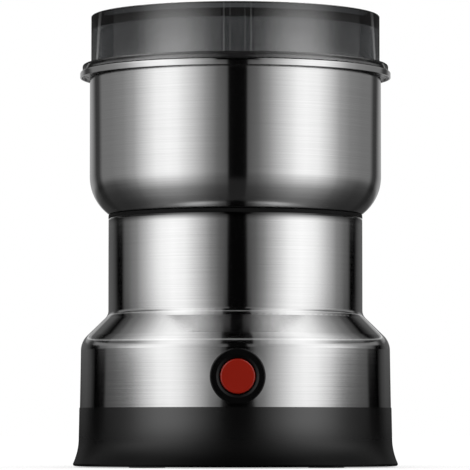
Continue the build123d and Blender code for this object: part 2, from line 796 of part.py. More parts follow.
def cooling_fan():
    """Moulded fan with straight vanes."""
    fan = disc(fan_r, fan_z, fan_z + fan_disc) + disc(fan_hub_r, fan_z, fan_top_z)
    vane = block((shaft_r, -fan_vane / 2, fan_z), (fan_r - fan_rim, fan_vane / 2, fan_top_z))
    for turn in range(fan_vane_count):
        fan += Rot(0, 0, turn * 360 / fan_vane_count) * vane
    return fan - disc(shaft_r, fan_z, fan_top_z)


def blade_spacer():
    """Collar on the shaft that carries the blade above the bush."""
    return tube(spacer_r, shaft_r, spacer_z, blade_z)


def blade_arm(angle, lean):
    """One ground arm: tapered plan, swept back, bent up or down from the hub."""
    start = blade_hub_r - blade_root
    plan = Polygon((start, -blade_width / 2), (blade_tip_r, -blade_tip_width),
                   (blade_tip_r - blade_root, 0), (start, blade_width / 2))
    arm = extrude(plan, blade_thickness)
    edge = Polygon((0, 0), (blade_edge, 0), (0, blade_thickness - blade_edge_land))
    way = math.degrees(math.atan2(blade_width / 2 - blade_tip_width, blade_tip_r - start))
    cutter = extrude(Plane.YZ * edge, 2 * blade_tip_r)
    arm -= Pos(start, -blade_width / 2, 0) * Rot(0, 0, way) * cutter
    bend = Pos(start, 0, 0) * Rot(0, -lean, 0) * Pos(-start, 0, 0)
    return Pos(0, 0, blade_z) * Rot(0, 0, angle) * bend * arm


def blade():
    """Two-armed cutting blade, one arm high and one low."""
    hub = disc(blade_hub_r, blade_z, blade_washer_z)
    arms = blade_arm(0, blade_rise_angle) + blade_arm(180, -blade_drop_angle)
    clear = disc(blade_washer_r + slip_gap, blade_washer_z, shaft_top_z + blade_tip_r)
    return hub + arms - clear - disc(shaft_tip_r, blade_z, blade_washer_z)


def blade_washer_part():
    """Washer between blade and nut."""
    return tube(blade_washer_r, shaft_tip_r, blade_washer_z, blade_nut_z)


def blade_nut_part():
    """Hexagon nut on the shaft's tip."""
    high = blade_nut_z + blade_nut
    return hexagon(blade_nut_r, blade_nut_z, high) - disc(shaft_tip_r, blade_nut_z, high)


def lid():
    """Clear lid: recessed top plate, outer wall with flange and spigot, and inner liner."""
    spigot_r = bowl_inner_r - lid_spigot_gap
    wall_in = lid_r - lid_wall
    liner_in = lid_liner_r - lid_liner_wall
    cover = lathe((0, lid_plate_z), (liner_in, lid_plate_z), (liner_in, rim_z - lid_liner_depth),
                  (lid_liner_r, rim_z - lid_liner_depth), (lid_liner_r, lid_plate_z),
                  (wall_in, lid_plate_z), (wall_in, rim_z), (spigot_r - lid_wall, rim_z),
                  (spigot_r - lid_wall, rim_z - lid_spigot_depth), (spigot_r, rim_z - lid_spigot_depth),
                  (spigot_r, rim_z), (lid_flange_r, rim_z), (lid_flange_r, rim_z + lid_flange),
                  (lid_r, rim_z + lid_flange), (lid_r, lid_top_z), (lid_r - lid_rim, lid_top_z),
                  (lid_r - lid_rim, lid_plate_top_z), (0, lid_plate_top_z))
    rims = cover.edges().filter_by(GeomType.CIRCLE)
    flange_edges = rims.filter_by(lambda edge: abs(edge.radius - lid_flange_r) < slip_gap)
    cover = fillet(flange_edges, lid_edge_radius)
    rib = disc(rib_r, rim_z + lid_flange / 2, lid_top_z)
    rib_angle = math.degrees(rib_pitch / lid_r)
    for group in range(rib_groups):
        for place in range(rib_count):
            angle = group * 360 / rib_groups + (place - (rib_count - 1) / 2) * rib_angle
            cover += Pos(*polar(lid_r + rib_proud - rib_r, angle)) * rib
    return cover


def switch_collar():
    """Black bezel with a shallow dish round the cap and the threaded neck behind it."""
    guide_r = cap_r + cap_gap
    guide_low = cap_back + cap_skirt_length + hole_gap
    collar = disc(collar_r, shell_front - free_gap, collar_face)
    collar = fillet(collar.edges().sort_by(Axis.Z)[-1], collar_edge_radius)
    collar -= disc(switch_neck_r, shell_front - free_gap, shell_front)
    wall = Rot(-90, 0, 0) * Pos(0, 0, -button_z) * housing_core()
    collar = collar - wall + disc(switch_neck_r, neck_end, collar_face - collar_dish)
    dish = Cone(guide_r, collar_dish_r, collar_dish)
    collar -= Pos(0, 0, collar_face - collar_dish / 2) * dish
    collar -= disc(switch_neck_bore_r, neck_end, guide_low)
    return facing_front(collar - disc(guide_r, guide_low, collar_face), button_z)


def housing_core():
    """Solid that fills the shell's lower wall out to its outer face."""
    return lathe((0, skirt_top_z), (shell_bottom_r, skirt_top_z),
                 (shell_shoulder_r, shoulder_z), (0, shoulder_z))


def switch_nut():
    """Ring nut inside the shell that holds the collar."""
    reach = math.sqrt((shell_front - sheet) ** 2 - switch_nut_r ** 2) - slip_gap
    nut = hexagon(switch_nut_r, reach - switch_nut_thickness, reach)
    return facing_front(nut - disc(switch_neck_r, reach - switch_nut_thickness, reach), button_z)


def switch_housing():
    """Cup behind the neck that holds the contacts and the return spring."""
    front = neck_end - housing_front
    cup = disc(housing_r, housing_back, neck_end)
    cup -= disc(housing_r - housing_wall, housing_back + housing_wall, front)
    cup -= disc(plunger_r + cap_gap, front, neck_end)
    for x in (-contact_x, contact_x):
        half = contact_size / 2
        cup -= block((x - half, -half, housing_back), (x + half, half, housing_back + housing_wall))
    return facing_front(cup, button_z)


def switch_contacts():
    """Two fixed brass contacts through the back of the switch."""
    half = contact_size / 2
    tip = bridge_back - contact_gap
    low = housing_back - contact_tail
    one = block((-half, -half, low), (half, half, tip))
    return [facing_front(Pos(x, 0) * one, button_z) for x in (-contact_x, contact_x)]


def button_cap():
    """Red cap with a chamfered face and a skirt that keeps it in the collar."""
    cap = disc(cap_r, cap_back, cap_face)
    cap = chamfer(cap.edges().sort_by(Axis.Z)[-1], cap_edge)
    return facing_front(cap + disc(cap_skirt_r, cap_back, cap_back + cap_skirt_length), button_z)


def button_plunger():
    """Rod from the cap to the moving contact."""
    bridge_front = bridge_back + bridge_thickness
    rod = disc(plunger_r, bridge_front, cap_back)
    return facing_front(rod + disc(plunger_tip_r, bridge_front - plunger_tip_length, bridge_front), button_z)


def contact_bridge():
    """Brass strip that joins the two fixed contacts when pressed."""
    strip = block((-bridge_half_length, -bridge_width / 2, bridge_back),
                  (bridge_half_length, bridge_width / 2, bridge_back + bridge_thickness))
    return facing_front(strip - disc(plunger_tip_r, bridge_back, cap_back), button_z)


def button_spring():
    """Spring that pushes the button back out."""
    start = housing_back + housing_wall
    return facing_front(spring(switch_spring_r, bridge_back - start, spring_turns, start), button_z)


def brush_holder(side):
    """Square brass tube with an end wall and a flange against the bracket's leg."""
    inner_x, inner_y = brush_height / 2 + slip_gap, brush_width / 2 + slip_gap
    outer_x, outer_y = inner_x + holder_wall, inner_y + holder_wall
    flange_low = bracket_leg_out
    holder = block((-outer_x, -outer_y, holder_start), (outer_x, outer_y, holder_end))
    holder += block((-outer_x, -outer_y - holder_flange_rim, flange_low),
                    (outer_x, outer_y + holder_flange_rim, flange_low + holder_flange))
    holder -= block((-inner_x, -inner_y, holder_start), (inner_x, inner_y, holder_end - holder_wall))
    return facing_side(holder, brush_z, side)


def carbon_brush(side):
    """Carbon block with its end shaped to the commutator."""
    half_x, half_y = brush_height / 2, brush_width / 2
    brush = block((-half_x, -half_y, brush_start - overcut), (half_x, half_y, brush_end))
    brush = facing_side(brush, brush_z, side)
    return brush - disc(brush_start, commutator_z, commutator_top_z)


def brush_spring(side):
    """Spring between a brush and the end of its holder."""
    coil = spring(brush_spring_r, brush_spring_length, brush_spring_turns, brush_end)
    return facing_side(coil, brush_z, side)


def cord_gland():
    """Rubber bush for the cord, with a flange inside and outside the skirt's wall."""
    inner_wall = skirt_inner_r
    face = skirt_flare_r + inlet_proud
    bush = disc(inlet_neck_r, inner_wall - inlet_depth, face)
    bush += disc(inlet_flange_r, skirt_flare_r - free_gap, face)
    bush = fillet(bush.edges().sort_by(Axis.Z)[-1], inlet_proud / 2)
    bush += disc(inlet_back_flange_r, inner_wall - inlet_depth, inner_wall - slip_gap)
    bush -= disc(inlet_bore_r, inner_wall - inlet_depth, face)
    return facing_back(bush, inlet_z) - base_skirt()


def cord_clamp():
    """Bar under the cord with a round groove, screwed to the bosses of the deck."""
    half = clamp_width / 2
    bar = block((-clamp_half_length, clamp_y - half, clamp_z),
                (clamp_half_length, clamp_y + half, clamp_z + clamp_thickness))
    bar -= facing_back(disc(inlet_bore_r, clamp_y - half, clamp_y + half), inlet_z)
    for x in (-clamp_screw_x, clamp_screw_x):
        bar -= Pos(x, clamp_y) * disc(screw_r + hole_gap, clamp_z, clamp_z + clamp_thickness)
        bar -= Pos(x, clamp_y) * disc(screw_head_r + slip_gap, clamp_z, clamp_z + screw_head_height)
    return bar


def cord_clamp_screws():
    """Screws of the cord clamp."""
    one = screw(clamp_thickness + clamp_screw_bite, clamp_z + screw_head_height)
    return [Pos(x, clamp_y) * one for x in (-clamp_screw_x, clamp_screw_x)]


def terminal_block():
    """Moulded block on the deck where the cord meets the inner leads."""
    width, depth, height = terminal_block_size
    low_y = terminal_block_y - depth / 2
    body = block((-width / 2, low_y, deck_top_z), (width / 2, low_y + depth, deck_top_z + height))
    top = deck_top_z + height
    for x in (-terminal_x, terminal_x):
        body -= Pos(x, terminal_block_y) * disc(terminal_r, top - terminal_depth, top)
    return body


def terminal_inserts():
    """Slotted brass screws in the terminal block."""
    top = deck_top_z + terminal_block_size[2]
    head = top - terminal_sunk
    one = disc(terminal_r, top - terminal_depth, head)
    half = terminal_slot / 2
    one -= block((-terminal_r, -half, head - terminal_slot), (terminal_r, half, head))
    return [Pos(x, terminal_block_y) * one for x in (-terminal_x, terminal_x)]


def standing_box(size, x):
    """Box that stands on the deck at a place along X, with rounded upright edges."""
    width, depth, height = size
    base = Plane.XY.offset(deck_top_z) * Pos(x, 0) * RectangleRounded(width, depth, free_gap)
    return extrude(base, height)


def suppression_capacitor():
    """Boxed capacitor across the mains."""
    return standing_box(capacitor_size, carrier_post_circle_r)


def thermal_cutout():
    """Resetting thermal switch with two tabs."""
    middle_x = -carrier_post_circle_r
    can = standing_box(cutout_size, middle_x)
    width, depth, height = cutout_tab
    top = deck_top_z + cutout_size[2]
    for y in (-1, 1):
        edge = y * (cutout_size[1] / 2 - depth / 2)
        can += block((middle_x - width / 2, edge - depth / 2, top - height),
                     (middle_x + width / 2, edge + depth / 2, top + height))
    return can


def internal_leads():
    """Two leads from the terminal block round the motor to the switch."""
    block_face = terminal_block_y - terminal_block_size[1] / 2
    switch_y = -(housing_back - contact_tail / 2)
    contact_low = button_z - contact_size / 2
    leads = []
    for side in (-1, 1):
        route = [(terminal_x, block_face, lead_z), (terminal_x, block_face - lead_exit, lead_z)]
        route += [(-x, y, lead_z) for x, y in (polar(lead_ring_r, angle) for angle in lead_angles)]
        route += [(contact_x, switch_y, lead_z), (contact_x, switch_y, contact_low)]
        route = [(side * x, y, z) for x, y, z in route]
        path = FilletPolyline(*route, radius=lead_bend)
        start = Plane(path @ 0, z_dir=path % 0) * Circle(lead_r)
        leads.append(sweep(start, path=path))
    return leads


def export(name, shape):
    """Write one node, which is one solid or a list of like solids."""
    if isinstance(shape, list):
        shape = Compound(children=[solid for piece in shape for solid in piece.solids()])
    export_step(shape, os.path.join("parts", name + ".step"))


nodes = {
    "base_skirt": base_skirt(),
    "bottom_cover": bottom_cover(),
    "rubber_feet": rubber_feet(),
    "bottom_cover_screws": bottom_cover_screws(),
    "body_shell": body_shell(),
    "bowl": bowl(),
    "bowl_bush": bowl_bush(),
    "bowl_bush_nut": bowl_bush_nut(),
    "shaft_seal": shaft_seal(),
    "motor_carrier": motor_carrier(),
    "carrier_screws": carrier_screws(),
    "upper_bracket": upper_bracket(),
    "lower_bracket": lower_bracket(),
    "upper_bearing": bearing(upper_bracket_z + hole_gap),
    "lower_bearing": bearing(shaft_z + hole_gap),
    "stator_core": stator_core(),
    "field_coils": field_coils(),
    "motor_through_screws": motor_through_screws(),
    "motor_screw_nuts": motor_screw_nuts(),
    "motor_dampers": motor_dampers(),
    "motor_mount_screws": motor_mount_screws(),
    "motor_shaft": motor_shaft(),
    "armature_core": armature_core(),
    "armature_windings": armature_windings(),
    "commutator": commutator(),
    "cooling_fan": cooling_fan(),
    "blade_spacer": blade_spacer(),
    "blade": blade(),
    "blade_washer": blade_washer_part(),
    "blade_nut": blade_nut_part(),
    "lid": lid(),
    "switch_collar": switch_collar(),
    "switch_nut": switch_nut(),
    "switch_housing": switch_housing(),
    "switch_contacts": switch_contacts(),
    "button_cap": button_cap(),
    "button_plunger": button_plunger(),
    "contact_bridge": contact_bridge(),
    "button_spring": button_spring(),
    "brush_holder_right": brush_holder(1),
    "brush_holder_left": brush_holder(-1),
    "carbon_brush_right": carbon_brush(1),
    "carbon_brush_left": carbon_brush(-1),
    "brush_spring_right": brush_spring(1),
    "brush_spring_left": brush_spring(-1),
    "cord_gland": cord_gland(),
    "cord_clamp": cord_clamp(),
    "cord_clamp_screws": cord_clamp_screws(),
    "terminal_block": terminal_block(),
    "terminal_inserts": terminal_inserts(),
    "suppression_capacitor": suppression_capacitor(),
    "thermal_cutout": thermal_cutout(),
    "internal_leads": internal_leads(),
}

os.makedirs("parts", exist_ok=True)
for node_name, node_shape in nodes.items():
    export(node_name, node_shape)
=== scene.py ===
import json
import math

import bmesh
import bpy
from bpy.props import FloatProperty, FloatVectorProperty, IntProperty, PointerProperty
from mathutils import Matrix, Vector

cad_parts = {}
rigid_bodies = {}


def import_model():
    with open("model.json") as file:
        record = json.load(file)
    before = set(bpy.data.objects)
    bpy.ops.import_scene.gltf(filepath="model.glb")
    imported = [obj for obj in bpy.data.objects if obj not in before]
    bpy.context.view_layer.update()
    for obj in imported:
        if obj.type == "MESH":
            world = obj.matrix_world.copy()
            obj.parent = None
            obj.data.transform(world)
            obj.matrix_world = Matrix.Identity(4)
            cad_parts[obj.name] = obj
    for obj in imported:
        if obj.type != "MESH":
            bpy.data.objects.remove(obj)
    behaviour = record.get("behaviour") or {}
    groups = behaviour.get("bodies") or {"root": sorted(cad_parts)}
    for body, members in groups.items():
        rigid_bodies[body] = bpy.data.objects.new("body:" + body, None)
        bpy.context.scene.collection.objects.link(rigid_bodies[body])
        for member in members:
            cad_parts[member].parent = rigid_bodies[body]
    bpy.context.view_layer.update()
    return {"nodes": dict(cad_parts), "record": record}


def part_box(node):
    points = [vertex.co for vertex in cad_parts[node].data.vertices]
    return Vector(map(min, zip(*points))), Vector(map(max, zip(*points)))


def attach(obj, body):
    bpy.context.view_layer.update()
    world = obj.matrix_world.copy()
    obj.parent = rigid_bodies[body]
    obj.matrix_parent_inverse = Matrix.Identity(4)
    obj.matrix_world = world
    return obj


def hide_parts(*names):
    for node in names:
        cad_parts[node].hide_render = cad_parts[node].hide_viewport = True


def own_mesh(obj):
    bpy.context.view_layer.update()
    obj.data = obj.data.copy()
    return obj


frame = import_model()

bl_info = {
    "name": "Spice Grinder Builder",
    "version": (1, 0, 0),
    "blender": (4, 5, 0),
    "location": "View3D > Sidebar > Grinder",
    "description": "Dresses an electric spice grinder and sets it in a plain studio",
    "category": "Object",
}

MM = 0.001
FULL_TURN = 2 * math.pi
QUARTER = FULL_TURN / 4
WHITE = (1.0, 1.0, 1.0, 1.0)


def linear(colour):
    """Linear red, green, blue and alpha of an sRGB hex colour."""
    parts = [int(colour[at:at + 2], 16) / 255 for at in (1, 3, 5)]
    return [p / 12.92 if p <= 0.04045 else ((p + 0.055) / 1.055) ** 2.4 for p in parts] + [1.0]


def colour_prop(name, description, default):
    return FloatVectorProperty(name=name, description=description, subtype="COLOR", size=4,
                               min=0.0, max=1.0, default=linear(default))


def length_prop(name, description, default_mm):
    return FloatProperty(name=name, description=description, subtype="DISTANCE", unit="LENGTH",
                         default=default_mm * MM, min=0.0)


class GrinderLidSettings(bpy.types.PropertyGroup):
    wall: length_prop("Wall", "Thickness of the lid's outer wall", 1.2)
    rim_width: length_prop("Rim width", "Width of the raised rim round the plate", 4.0)
    edge: length_prop("Edge radius", "Rounding of the moulded edges", 0.35)
    rib_proud: length_prop("Rib height", "How far a grip rib stands out", 0.07)
    tint: colour_prop("Tint", "Colour that the smoked plastic lets through", "#707478")
    density: FloatProperty(name="Tint density", default=930.0, min=0.0,
                           description="How fast the tint darkens with depth, per metre")


class GrinderSteelSettings(bpy.types.PropertyGroup):
    steps: IntProperty(name="Steps round", description="Faces round the bowl", default=192,
                       min=24, max=512)
    bend: length_prop("Rim bend", "Outside radius of the bowl's turned-down rim", 0.7)
    colour: colour_prop("Steel", "Colour of the stainless steel", "#BCBCBC")
    line: length_prop("Brush line", "Distance between brush lines", 0.25)


class GrinderPlasticSettings(bpy.types.PropertyGroup):
    black: colour_prop("Housing black", "Colour of the base and the collar", "#070707")
    red: colour_prop("Button red", "Colour of the push button", "#8C190A")
    cap_edge: length_prop("Cap edge", "Rounding of the button's face", 0.5)
    cap_dish: length_prop("Cap dish", "Depth of the hollow in the button's face", 0.12)


class GrinderStageSettings(bpy.types.PropertyGroup):
    table: colour_prop("Table", "Colour of the table top", "#C8C8C8")
    lens: FloatProperty(name="Lens", description="Focal length of the camera in millimetres",
                        default=292.4, min=1.0)
    card_level: FloatProperty(name="Card level", default=2.0, min=0.0,
                              description="Brightness of the cards that the steel reflects")
    card_radius: FloatProperty(name="Card radius", description="Radius of the dome of cards",
                               subtype="DISTANCE", unit="LENGTH", default=0.45, min=0.2)


# ---------------------------------------------------------------- materials

def node(tree, kind, inputs=None, **settings):
    """Add a shader node. By name or number, inputs gives values, linked sockets, or nodes whose first
    output is linked."""
    made = tree.nodes.new(kind)
    for name, value in settings.items():
        setattr(made, name, value)
    for key, value in (inputs or {}).items():
        if isinstance(value, bpy.types.Node):
            value = value.outputs[0]
        if isinstance(value, bpy.types.NodeSocket):
            tree.links.new(value, made.inputs[key])
        else:
            made.inputs[key].default_value = value
    return made


def new_material(name):
    made = bpy.data.materials.new(name)
    made.use_nodes = True
    made.node_tree.nodes.clear()
    return made, made.node_tree


# Each maker fills a material's tree and returns what its output node takes.

def brushed_stainless(tree, under_bowl_shade=1.0):
    """Stainless sheet brushed round its axis: its rings hold reflections sharp sideways, soft upwards.

    Just under the bowl its colour can be darkened as painted shade, where the bowl overhangs the joint."""
    steel = bpy.context.scene.grinder_steel
    # brush lines are drawn about five times as coarse as real ones, which are too fine to show
    lines_per_metre = 1.0 / steel.line
    strokes_per_metre = 22  # a stroke fades into the next about every 45 mm
    coords = node(tree, "ShaderNodeTexCoord")
    part = node(tree, "ShaderNodeSeparateXYZ", {0: coords.outputs["Object"]})
    flat = node(tree, "ShaderNodeCombineXYZ", {"X": part.outputs["X"], "Y": part.outputs["Y"]})
    away = node(tree, "ShaderNodeVectorMath", {0: flat}, operation="LENGTH")
    ring = node(tree, "ShaderNodeMath", {0: away.outputs["Value"], 1: part.outputs["Z"]}, operation="ADD")
    rings = node(tree, "ShaderNodeMath", {0: ring, 1: lines_per_metre}, operation="MULTIPLY")
    stretch = node(tree, "ShaderNodeMapping", {"Vector": flat, "Scale": [strokes_per_metre] * 3})
    grain = node(tree, "ShaderNodeTexNoise", {
        "Vector": stretch, "W": rings, "Scale": 1.0, "Detail": 2.0,
        "Roughness": 0.75}, noise_dimensions="4D")
    tone = node(tree, "ShaderNodeMapRange", {
        "Value": grain.outputs["Fac"], "From Min": 0.3, "From Max": 0.7, "To Min": 0.93, "To Max": 1.05})
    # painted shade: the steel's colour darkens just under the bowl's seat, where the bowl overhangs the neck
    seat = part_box("bowl")[0].z
    joint = node(tree, "ShaderNodeMapRange", {
        "Value": part.outputs["Z"], "From Min": seat - 1.2 * MM, "From Max": seat + 1.8 * MM,
        "To Min": 1.0, "To Max": under_bowl_shade}, interpolation_type="SMOOTHSTEP")
    shade = node(tree, "ShaderNodeMath", {0: tone, 1: joint}, operation="MULTIPLY")
    colour = node(tree, "ShaderNodeVectorMath", {0: tuple(steel.colour)[:3], "Scale": shade},
                  operation="SCALE")
    rough = node(tree, "ShaderNodeMapRange", {
        "Value": grain.outputs["Fac"], "From Min": 0.3, "From Max": 0.7, "To Min": 0.095, "To Max": 0.135})
    scratch = node(tree, "ShaderNodeBump", {
        "Height": grain.outputs["Fac"], "Strength": 0.05, "Distance": 0.05 * MM})
    around = node(tree, "ShaderNodeTangent", direction_type="RADIAL", axis="Z")
    skin = node(tree, "ShaderNodeBsdfPrincipled", {
        "Base Color": colour, "Metallic": 1.0, "Roughness": rough, "Anisotropic": 0.85,
        "Anisotropic Rotation": 0.25, "Tangent": around, "Normal": scratch})
    return {"Surface": skin}


def ground_stainless(tree):
    """Stainless steel ground along its length: bright, with straight hairlines."""
    # hairlines 11 mm long and 0.33 mm apart, about three times as coarse as real ones, so that they show
    hairlines_per_metre = (90, 3000, 3000)
    coords = node(tree, "ShaderNodeTexCoord")
    stretch = node(tree, "ShaderNodeMapping", {
        "Vector": coords.outputs["Object"], "Scale": hairlines_per_metre})
    grain = node(tree, "ShaderNodeTexNoise", {"Vector": stretch, "Scale": 1.0, "Detail": 3.0})
    rough = node(tree, "ShaderNodeMapRange", {"Value": grain.outputs["Fac"], "To Min": 0.1, "To Max": 0.24})
    scratch = node(tree, "ShaderNodeBump", {
        "Height": grain.outputs["Fac"], "Strength": 0.1, "Distance": 0.1 * MM})
    skin = node(tree, "ShaderNodeBsdfPrincipled", {
        "Base Color": linear("#CBCCCC"), "Metallic": 1.0, "Roughness": rough,
        "Normal": scratch})
    return {"Surface": skin}


def smoked_styrene(tree):
    """Smoked polystyrene, moulded with polished walls: clear where thin, nearly black through its edges."""
    lid = bpy.context.scene.grinder_lid
    flow_per_metre = 14.0  # the walls wave faintly about every 70 mm, as the melt flowed
    coords = node(tree, "ShaderNodeTexCoord")
    flow = node(tree, "ShaderNodeTexNoise", {
        "Vector": coords.outputs["Object"], "Scale": flow_per_metre, "Detail": 0.0})
    wave = node(tree, "ShaderNodeBump", {
        "Height": flow.outputs["Fac"], "Strength": 0.1, "Distance": 0.3 * MM})
    rough = node(tree, "ShaderNodeMapRange", {"Value": flow.outputs["Fac"], "To Min": 0.012, "To Max": 0.03})
    skin = node(tree, "ShaderNodeBsdfPrincipled", {
        "Base Color": WHITE, "Roughness": rough, "IOR": 1.59, "Transmission Weight": 1.0,
        "Coat Weight": 1.0, "Coat Roughness": 0.02, "Normal": wave})
    depth = node(tree, "ShaderNodeVolumeAbsorption", {"Color": tuple(lid.tint), "Density": lid.density})
    return {"Surface": skin, "Volume": depth}


def moulded(tree, colour, rough, grit_mm, relief, ior):
    """Moulded plastic or rubber: even colour, with the fine texture of its mould."""
    clouds_per_metre = 45.0  # soft patches of about 22 mm, where the melt cooled unevenly
    coords = node(tree, "ShaderNodeTexCoord")
    grit = node(tree, "ShaderNodeTexNoise", {
        "Vector": coords.outputs["Object"], "Scale": 1 / (grit_mm * MM), "Detail": 2.0, "Roughness": 0.6})
    cloud = node(tree, "ShaderNodeTexNoise", {
        "Vector": coords.outputs["Object"], "Scale": clouds_per_metre, "Detail": 2.0})
    shade = node(tree, "ShaderNodeMapRange", {"Value": cloud.outputs["Fac"], "To Min": 0.88, "To Max": 1.12})
    tint = node(tree, "ShaderNodeVectorMath", {0: tuple(colour)[:3], "Scale": shade}, operation="SCALE")
    vary = node(tree, "ShaderNodeMapRange", {
        "Value": cloud.outputs["Fac"], "To Min": rough * 0.9, "To Max": rough * 1.1})
    bump = node(tree, "ShaderNodeBump", {
        "Height": grit.outputs["Fac"], "Strength": relief, "Distance": 0.1 * MM})
    skin = node(tree, "ShaderNodeBsdfPrincipled", {
        "Base Color": tint, "Roughness": vary, "IOR": ior, "Normal": bump})
    return {"Surface": skin}


def satin_skirt(tree):
    """Satin ABS whose mould texture deepens towards the foot, so that it roughens downwards, and whose
    reflection is darkened downwards by painted shade in its specular tint.
    """
    grit_per_metre = 2800.0  # mould grit of about 0.36 mm
    matt_below, satin_above = 1.5 * MM, 16.5 * MM
    coords = node(tree, "ShaderNodeTexCoord")
    part = node(tree, "ShaderNodeSeparateXYZ", {0: coords.outputs["Object"]})
    grit = node(tree, "ShaderNodeTexNoise", {
        "Vector": coords.outputs["Object"], "Scale": grit_per_metre, "Detail": 2.0})
    gloss_and_painted_shade = node(tree, "ShaderNodeMapRange", {
        "Value": part.outputs["Z"], "From Min": matt_below, "From Max": satin_above,
        "To Min": 0.02, "To Max": 1.0}, interpolation_type="SMOOTHSTEP")
    rough = node(tree, "ShaderNodeMapRange", {"Value": gloss_and_painted_shade, "To Min": 0.34, "To Max": 0.19})
    vary = node(tree, "ShaderNodeMath", {0: grit.outputs["Fac"], 1: 0.03, 2: rough},
                operation="MULTIPLY_ADD")
    bump = node(tree, "ShaderNodeBump", {
        "Height": grit.outputs["Fac"], "Strength": 0.03, "Distance": 0.1 * MM})
    # painted shade: the specular tint dims the reflection towards the foot; the roughness follows the mould
    # texture
    skin = node(tree, "ShaderNodeBsdfPrincipled", {
        "Base Color": tuple(bpy.context.scene.grinder_plastic.black), "Roughness": vary,
        "IOR": 1.68, "Specular Tint": gloss_and_painted_shade, "Normal": bump})
    return {"Surface": skin}


def worked_metal(tree, colour, stain, rough, grain_mm, relief, stretch=(1, 1, 1)):
    """Plated, stamped or sintered metal: two tones in soft patches over a fine grain."""
    clouds_per_metre = 180.0  # patches of about 5.5 mm
    coords = node(tree, "ShaderNodeTexCoord")
    size = node(tree, "ShaderNodeMapping", {
        "Vector": coords.outputs["Object"], "Scale": tuple(s / (grain_mm * MM) for s in stretch)})
    grain = node(tree, "ShaderNodeTexNoise", {"Vector": size, "Scale": 1.0, "Detail": 2.0})
    cloud = node(tree, "ShaderNodeTexNoise", {
        "Vector": coords.outputs["Object"], "Scale": clouds_per_metre, "Detail": 3.0})
    colours = node(tree, "ShaderNodeMix", {0: cloud.outputs["Fac"], 6: linear(colour), 7: linear(stain)},
                   data_type="RGBA")
    vary = node(tree, "ShaderNodeMapRange", {
        "Value": grain.outputs["Fac"], "To Min": rough * 0.75, "To Max": rough * 1.25})
    bump = node(tree, "ShaderNodeBump", {
        "Height": grain.outputs["Fac"], "Strength": relief, "Distance": 0.1 * MM})
    skin = node(tree, "ShaderNodeBsdfPrincipled", {
        "Base Color": colours.outputs[2], "Metallic": 1.0, "Roughness": vary,
        "Normal": bump})
    return {"Surface": skin}


def finish(name):
    """The material of a finish, made the first time that it is asked for."""
    ready = bpy.data.materials.get(name)
    if ready:
        return ready
    plastic = bpy.context.scene.grinder_plastic
    # colour, roughness, grit in millimetres, relief and IOR
    mouldings = {
        # eroded ABS: deep black that gives almost no highlight
        "abs_black_eroded": (plastic.black, 0.25, 0.3, 0.02, 1.3),
        # polished ABS: even red with a small clear highlight
        "abs_red_gloss": (plastic.red, 0.16, 0.3, 0.01, 1.45),
        # glass-filled nylon: dull and slightly grainy
        "nylon_black_filled": (linear("#1B1B1C"), 0.5, 0.4, 0.15, 1.53),
        # acetal: waxy off-white with a broad soft highlight
        "acetal_white": (linear("#E6E3DA"), 0.35, 0.3, 0.05, 1.53),
        # the capacitor's polyester box: strong yellow, half glossy
        "capacitor_yellow": (linear("#E3C24A"), 0.3, 0.5, 0.05, 1.53),
        # nitrile rubber: dark grey and dull
        "rubber_black_moulded": (linear("#161616"), 0.7, 0.25, 0.3, 1.52),
        # near-black ring in the bowl's joint: painted shade that swallows nearly all light
        "joint_shade_black": (linear("#060606"), 0.6, 0.25, 0.1, 1.25),
        # soft vinyl on the leads: blue with a greasy sheen
        "vinyl_blue": (linear("#2A3F9C"), 0.35, 0.6, 0.08, 1.53),
        # pressed carbon: dark grey, dusty, with a dull shine
        "carbon_pressed": (linear("#2A2A2B"), 0.55, 0.12, 0.3, 1.8),
    }
    # colour, stain, roughness, grain in millimetres, relief and, where the grain runs in lines, its stretch
    metals = {
        # stamped brass: warm yellow, smooth, faintly tarnished in patches
        "brass_stamped": ("#D9B463", "#C49A4E", 0.26, 0.3, 0.1),
        # sintered bronze: dull, with open pores
        "bronze_sintered": ("#B0814F", "#8A6038", 0.5, 0.15, 0.5),
        # enamelled wire wound round the vertical plane: ridges a wire's thickness apart
        "copper_enamelled": ("#C26B35", "#A5541F", 0.25, 0.45, 0.8, (0.15, 0.15, 1.0)),
        # bright zinc plate: blue-white with cloudy patches
        "steel_zinc_plated": ("#D3D7DB", "#B9BEC2", 0.3, 0.4, 0.1),
        # cold-drawn wire: grey and oiled, with a fine even grain
        "steel_spring": ("#A9ADB0", "#8F9396", 0.25, 0.12, 0.1),
        # stacked half-millimetre sheets: fine level lines
        "steel_laminations": ("#8A8B8E", "#6C6D70", 0.45, 0.5, 0.9, (0.02, 0.02, 1.0)),
    }
    # the rest have makers of their own; the neck's steel takes painted shade in its joint, down to 0.06 of
    # its colour
    others = {"stainless_brushed_round": (brushed_stainless,), "styrene_smoked": (smoked_styrene,),
              "stainless_brushed_neck_painted_shade": (brushed_stainless, 0.06), "abs_black_satin": (satin_skirt,),
              "stainless_ground": (ground_stainless,)}
    if name in mouldings:
        maker, *values = moulded, *mouldings[name]
    elif name in metals:
        maker, *values = worked_metal, *metals[name]
    else:
        maker, *values = others[name]
    made, tree = new_material(name)
    node(tree, "ShaderNodeOutputMaterial", maker(tree, *values))
    return made


FINISH_OF_SLOT = {
    "smoked_clear": "styrene_smoked", "brushed_stainless": "stainless_brushed_round",
    "polished_stainless": "stainless_ground", "black_abs": "abs_black_satin",
    "black_frame": "nylon_black_filled", "red_cap": "abs_red_gloss", "white_plastic": "acetal_white",
    "yellow_box": "capacitor_yellow", "black_rubber": "rubber_black_moulded", "brass": "brass_stamped",
    "bronze": "bronze_sintered", "copper": "copper_enamelled", "carbon": "carbon_pressed",
    "zinc_steel": "steel_zinc_plated", "lamination_steel": "steel_laminations",
    "lead_insulation": "vinyl_blue",
}


# ---------------------------------------------------------------- shapes, in millimetres until they are made

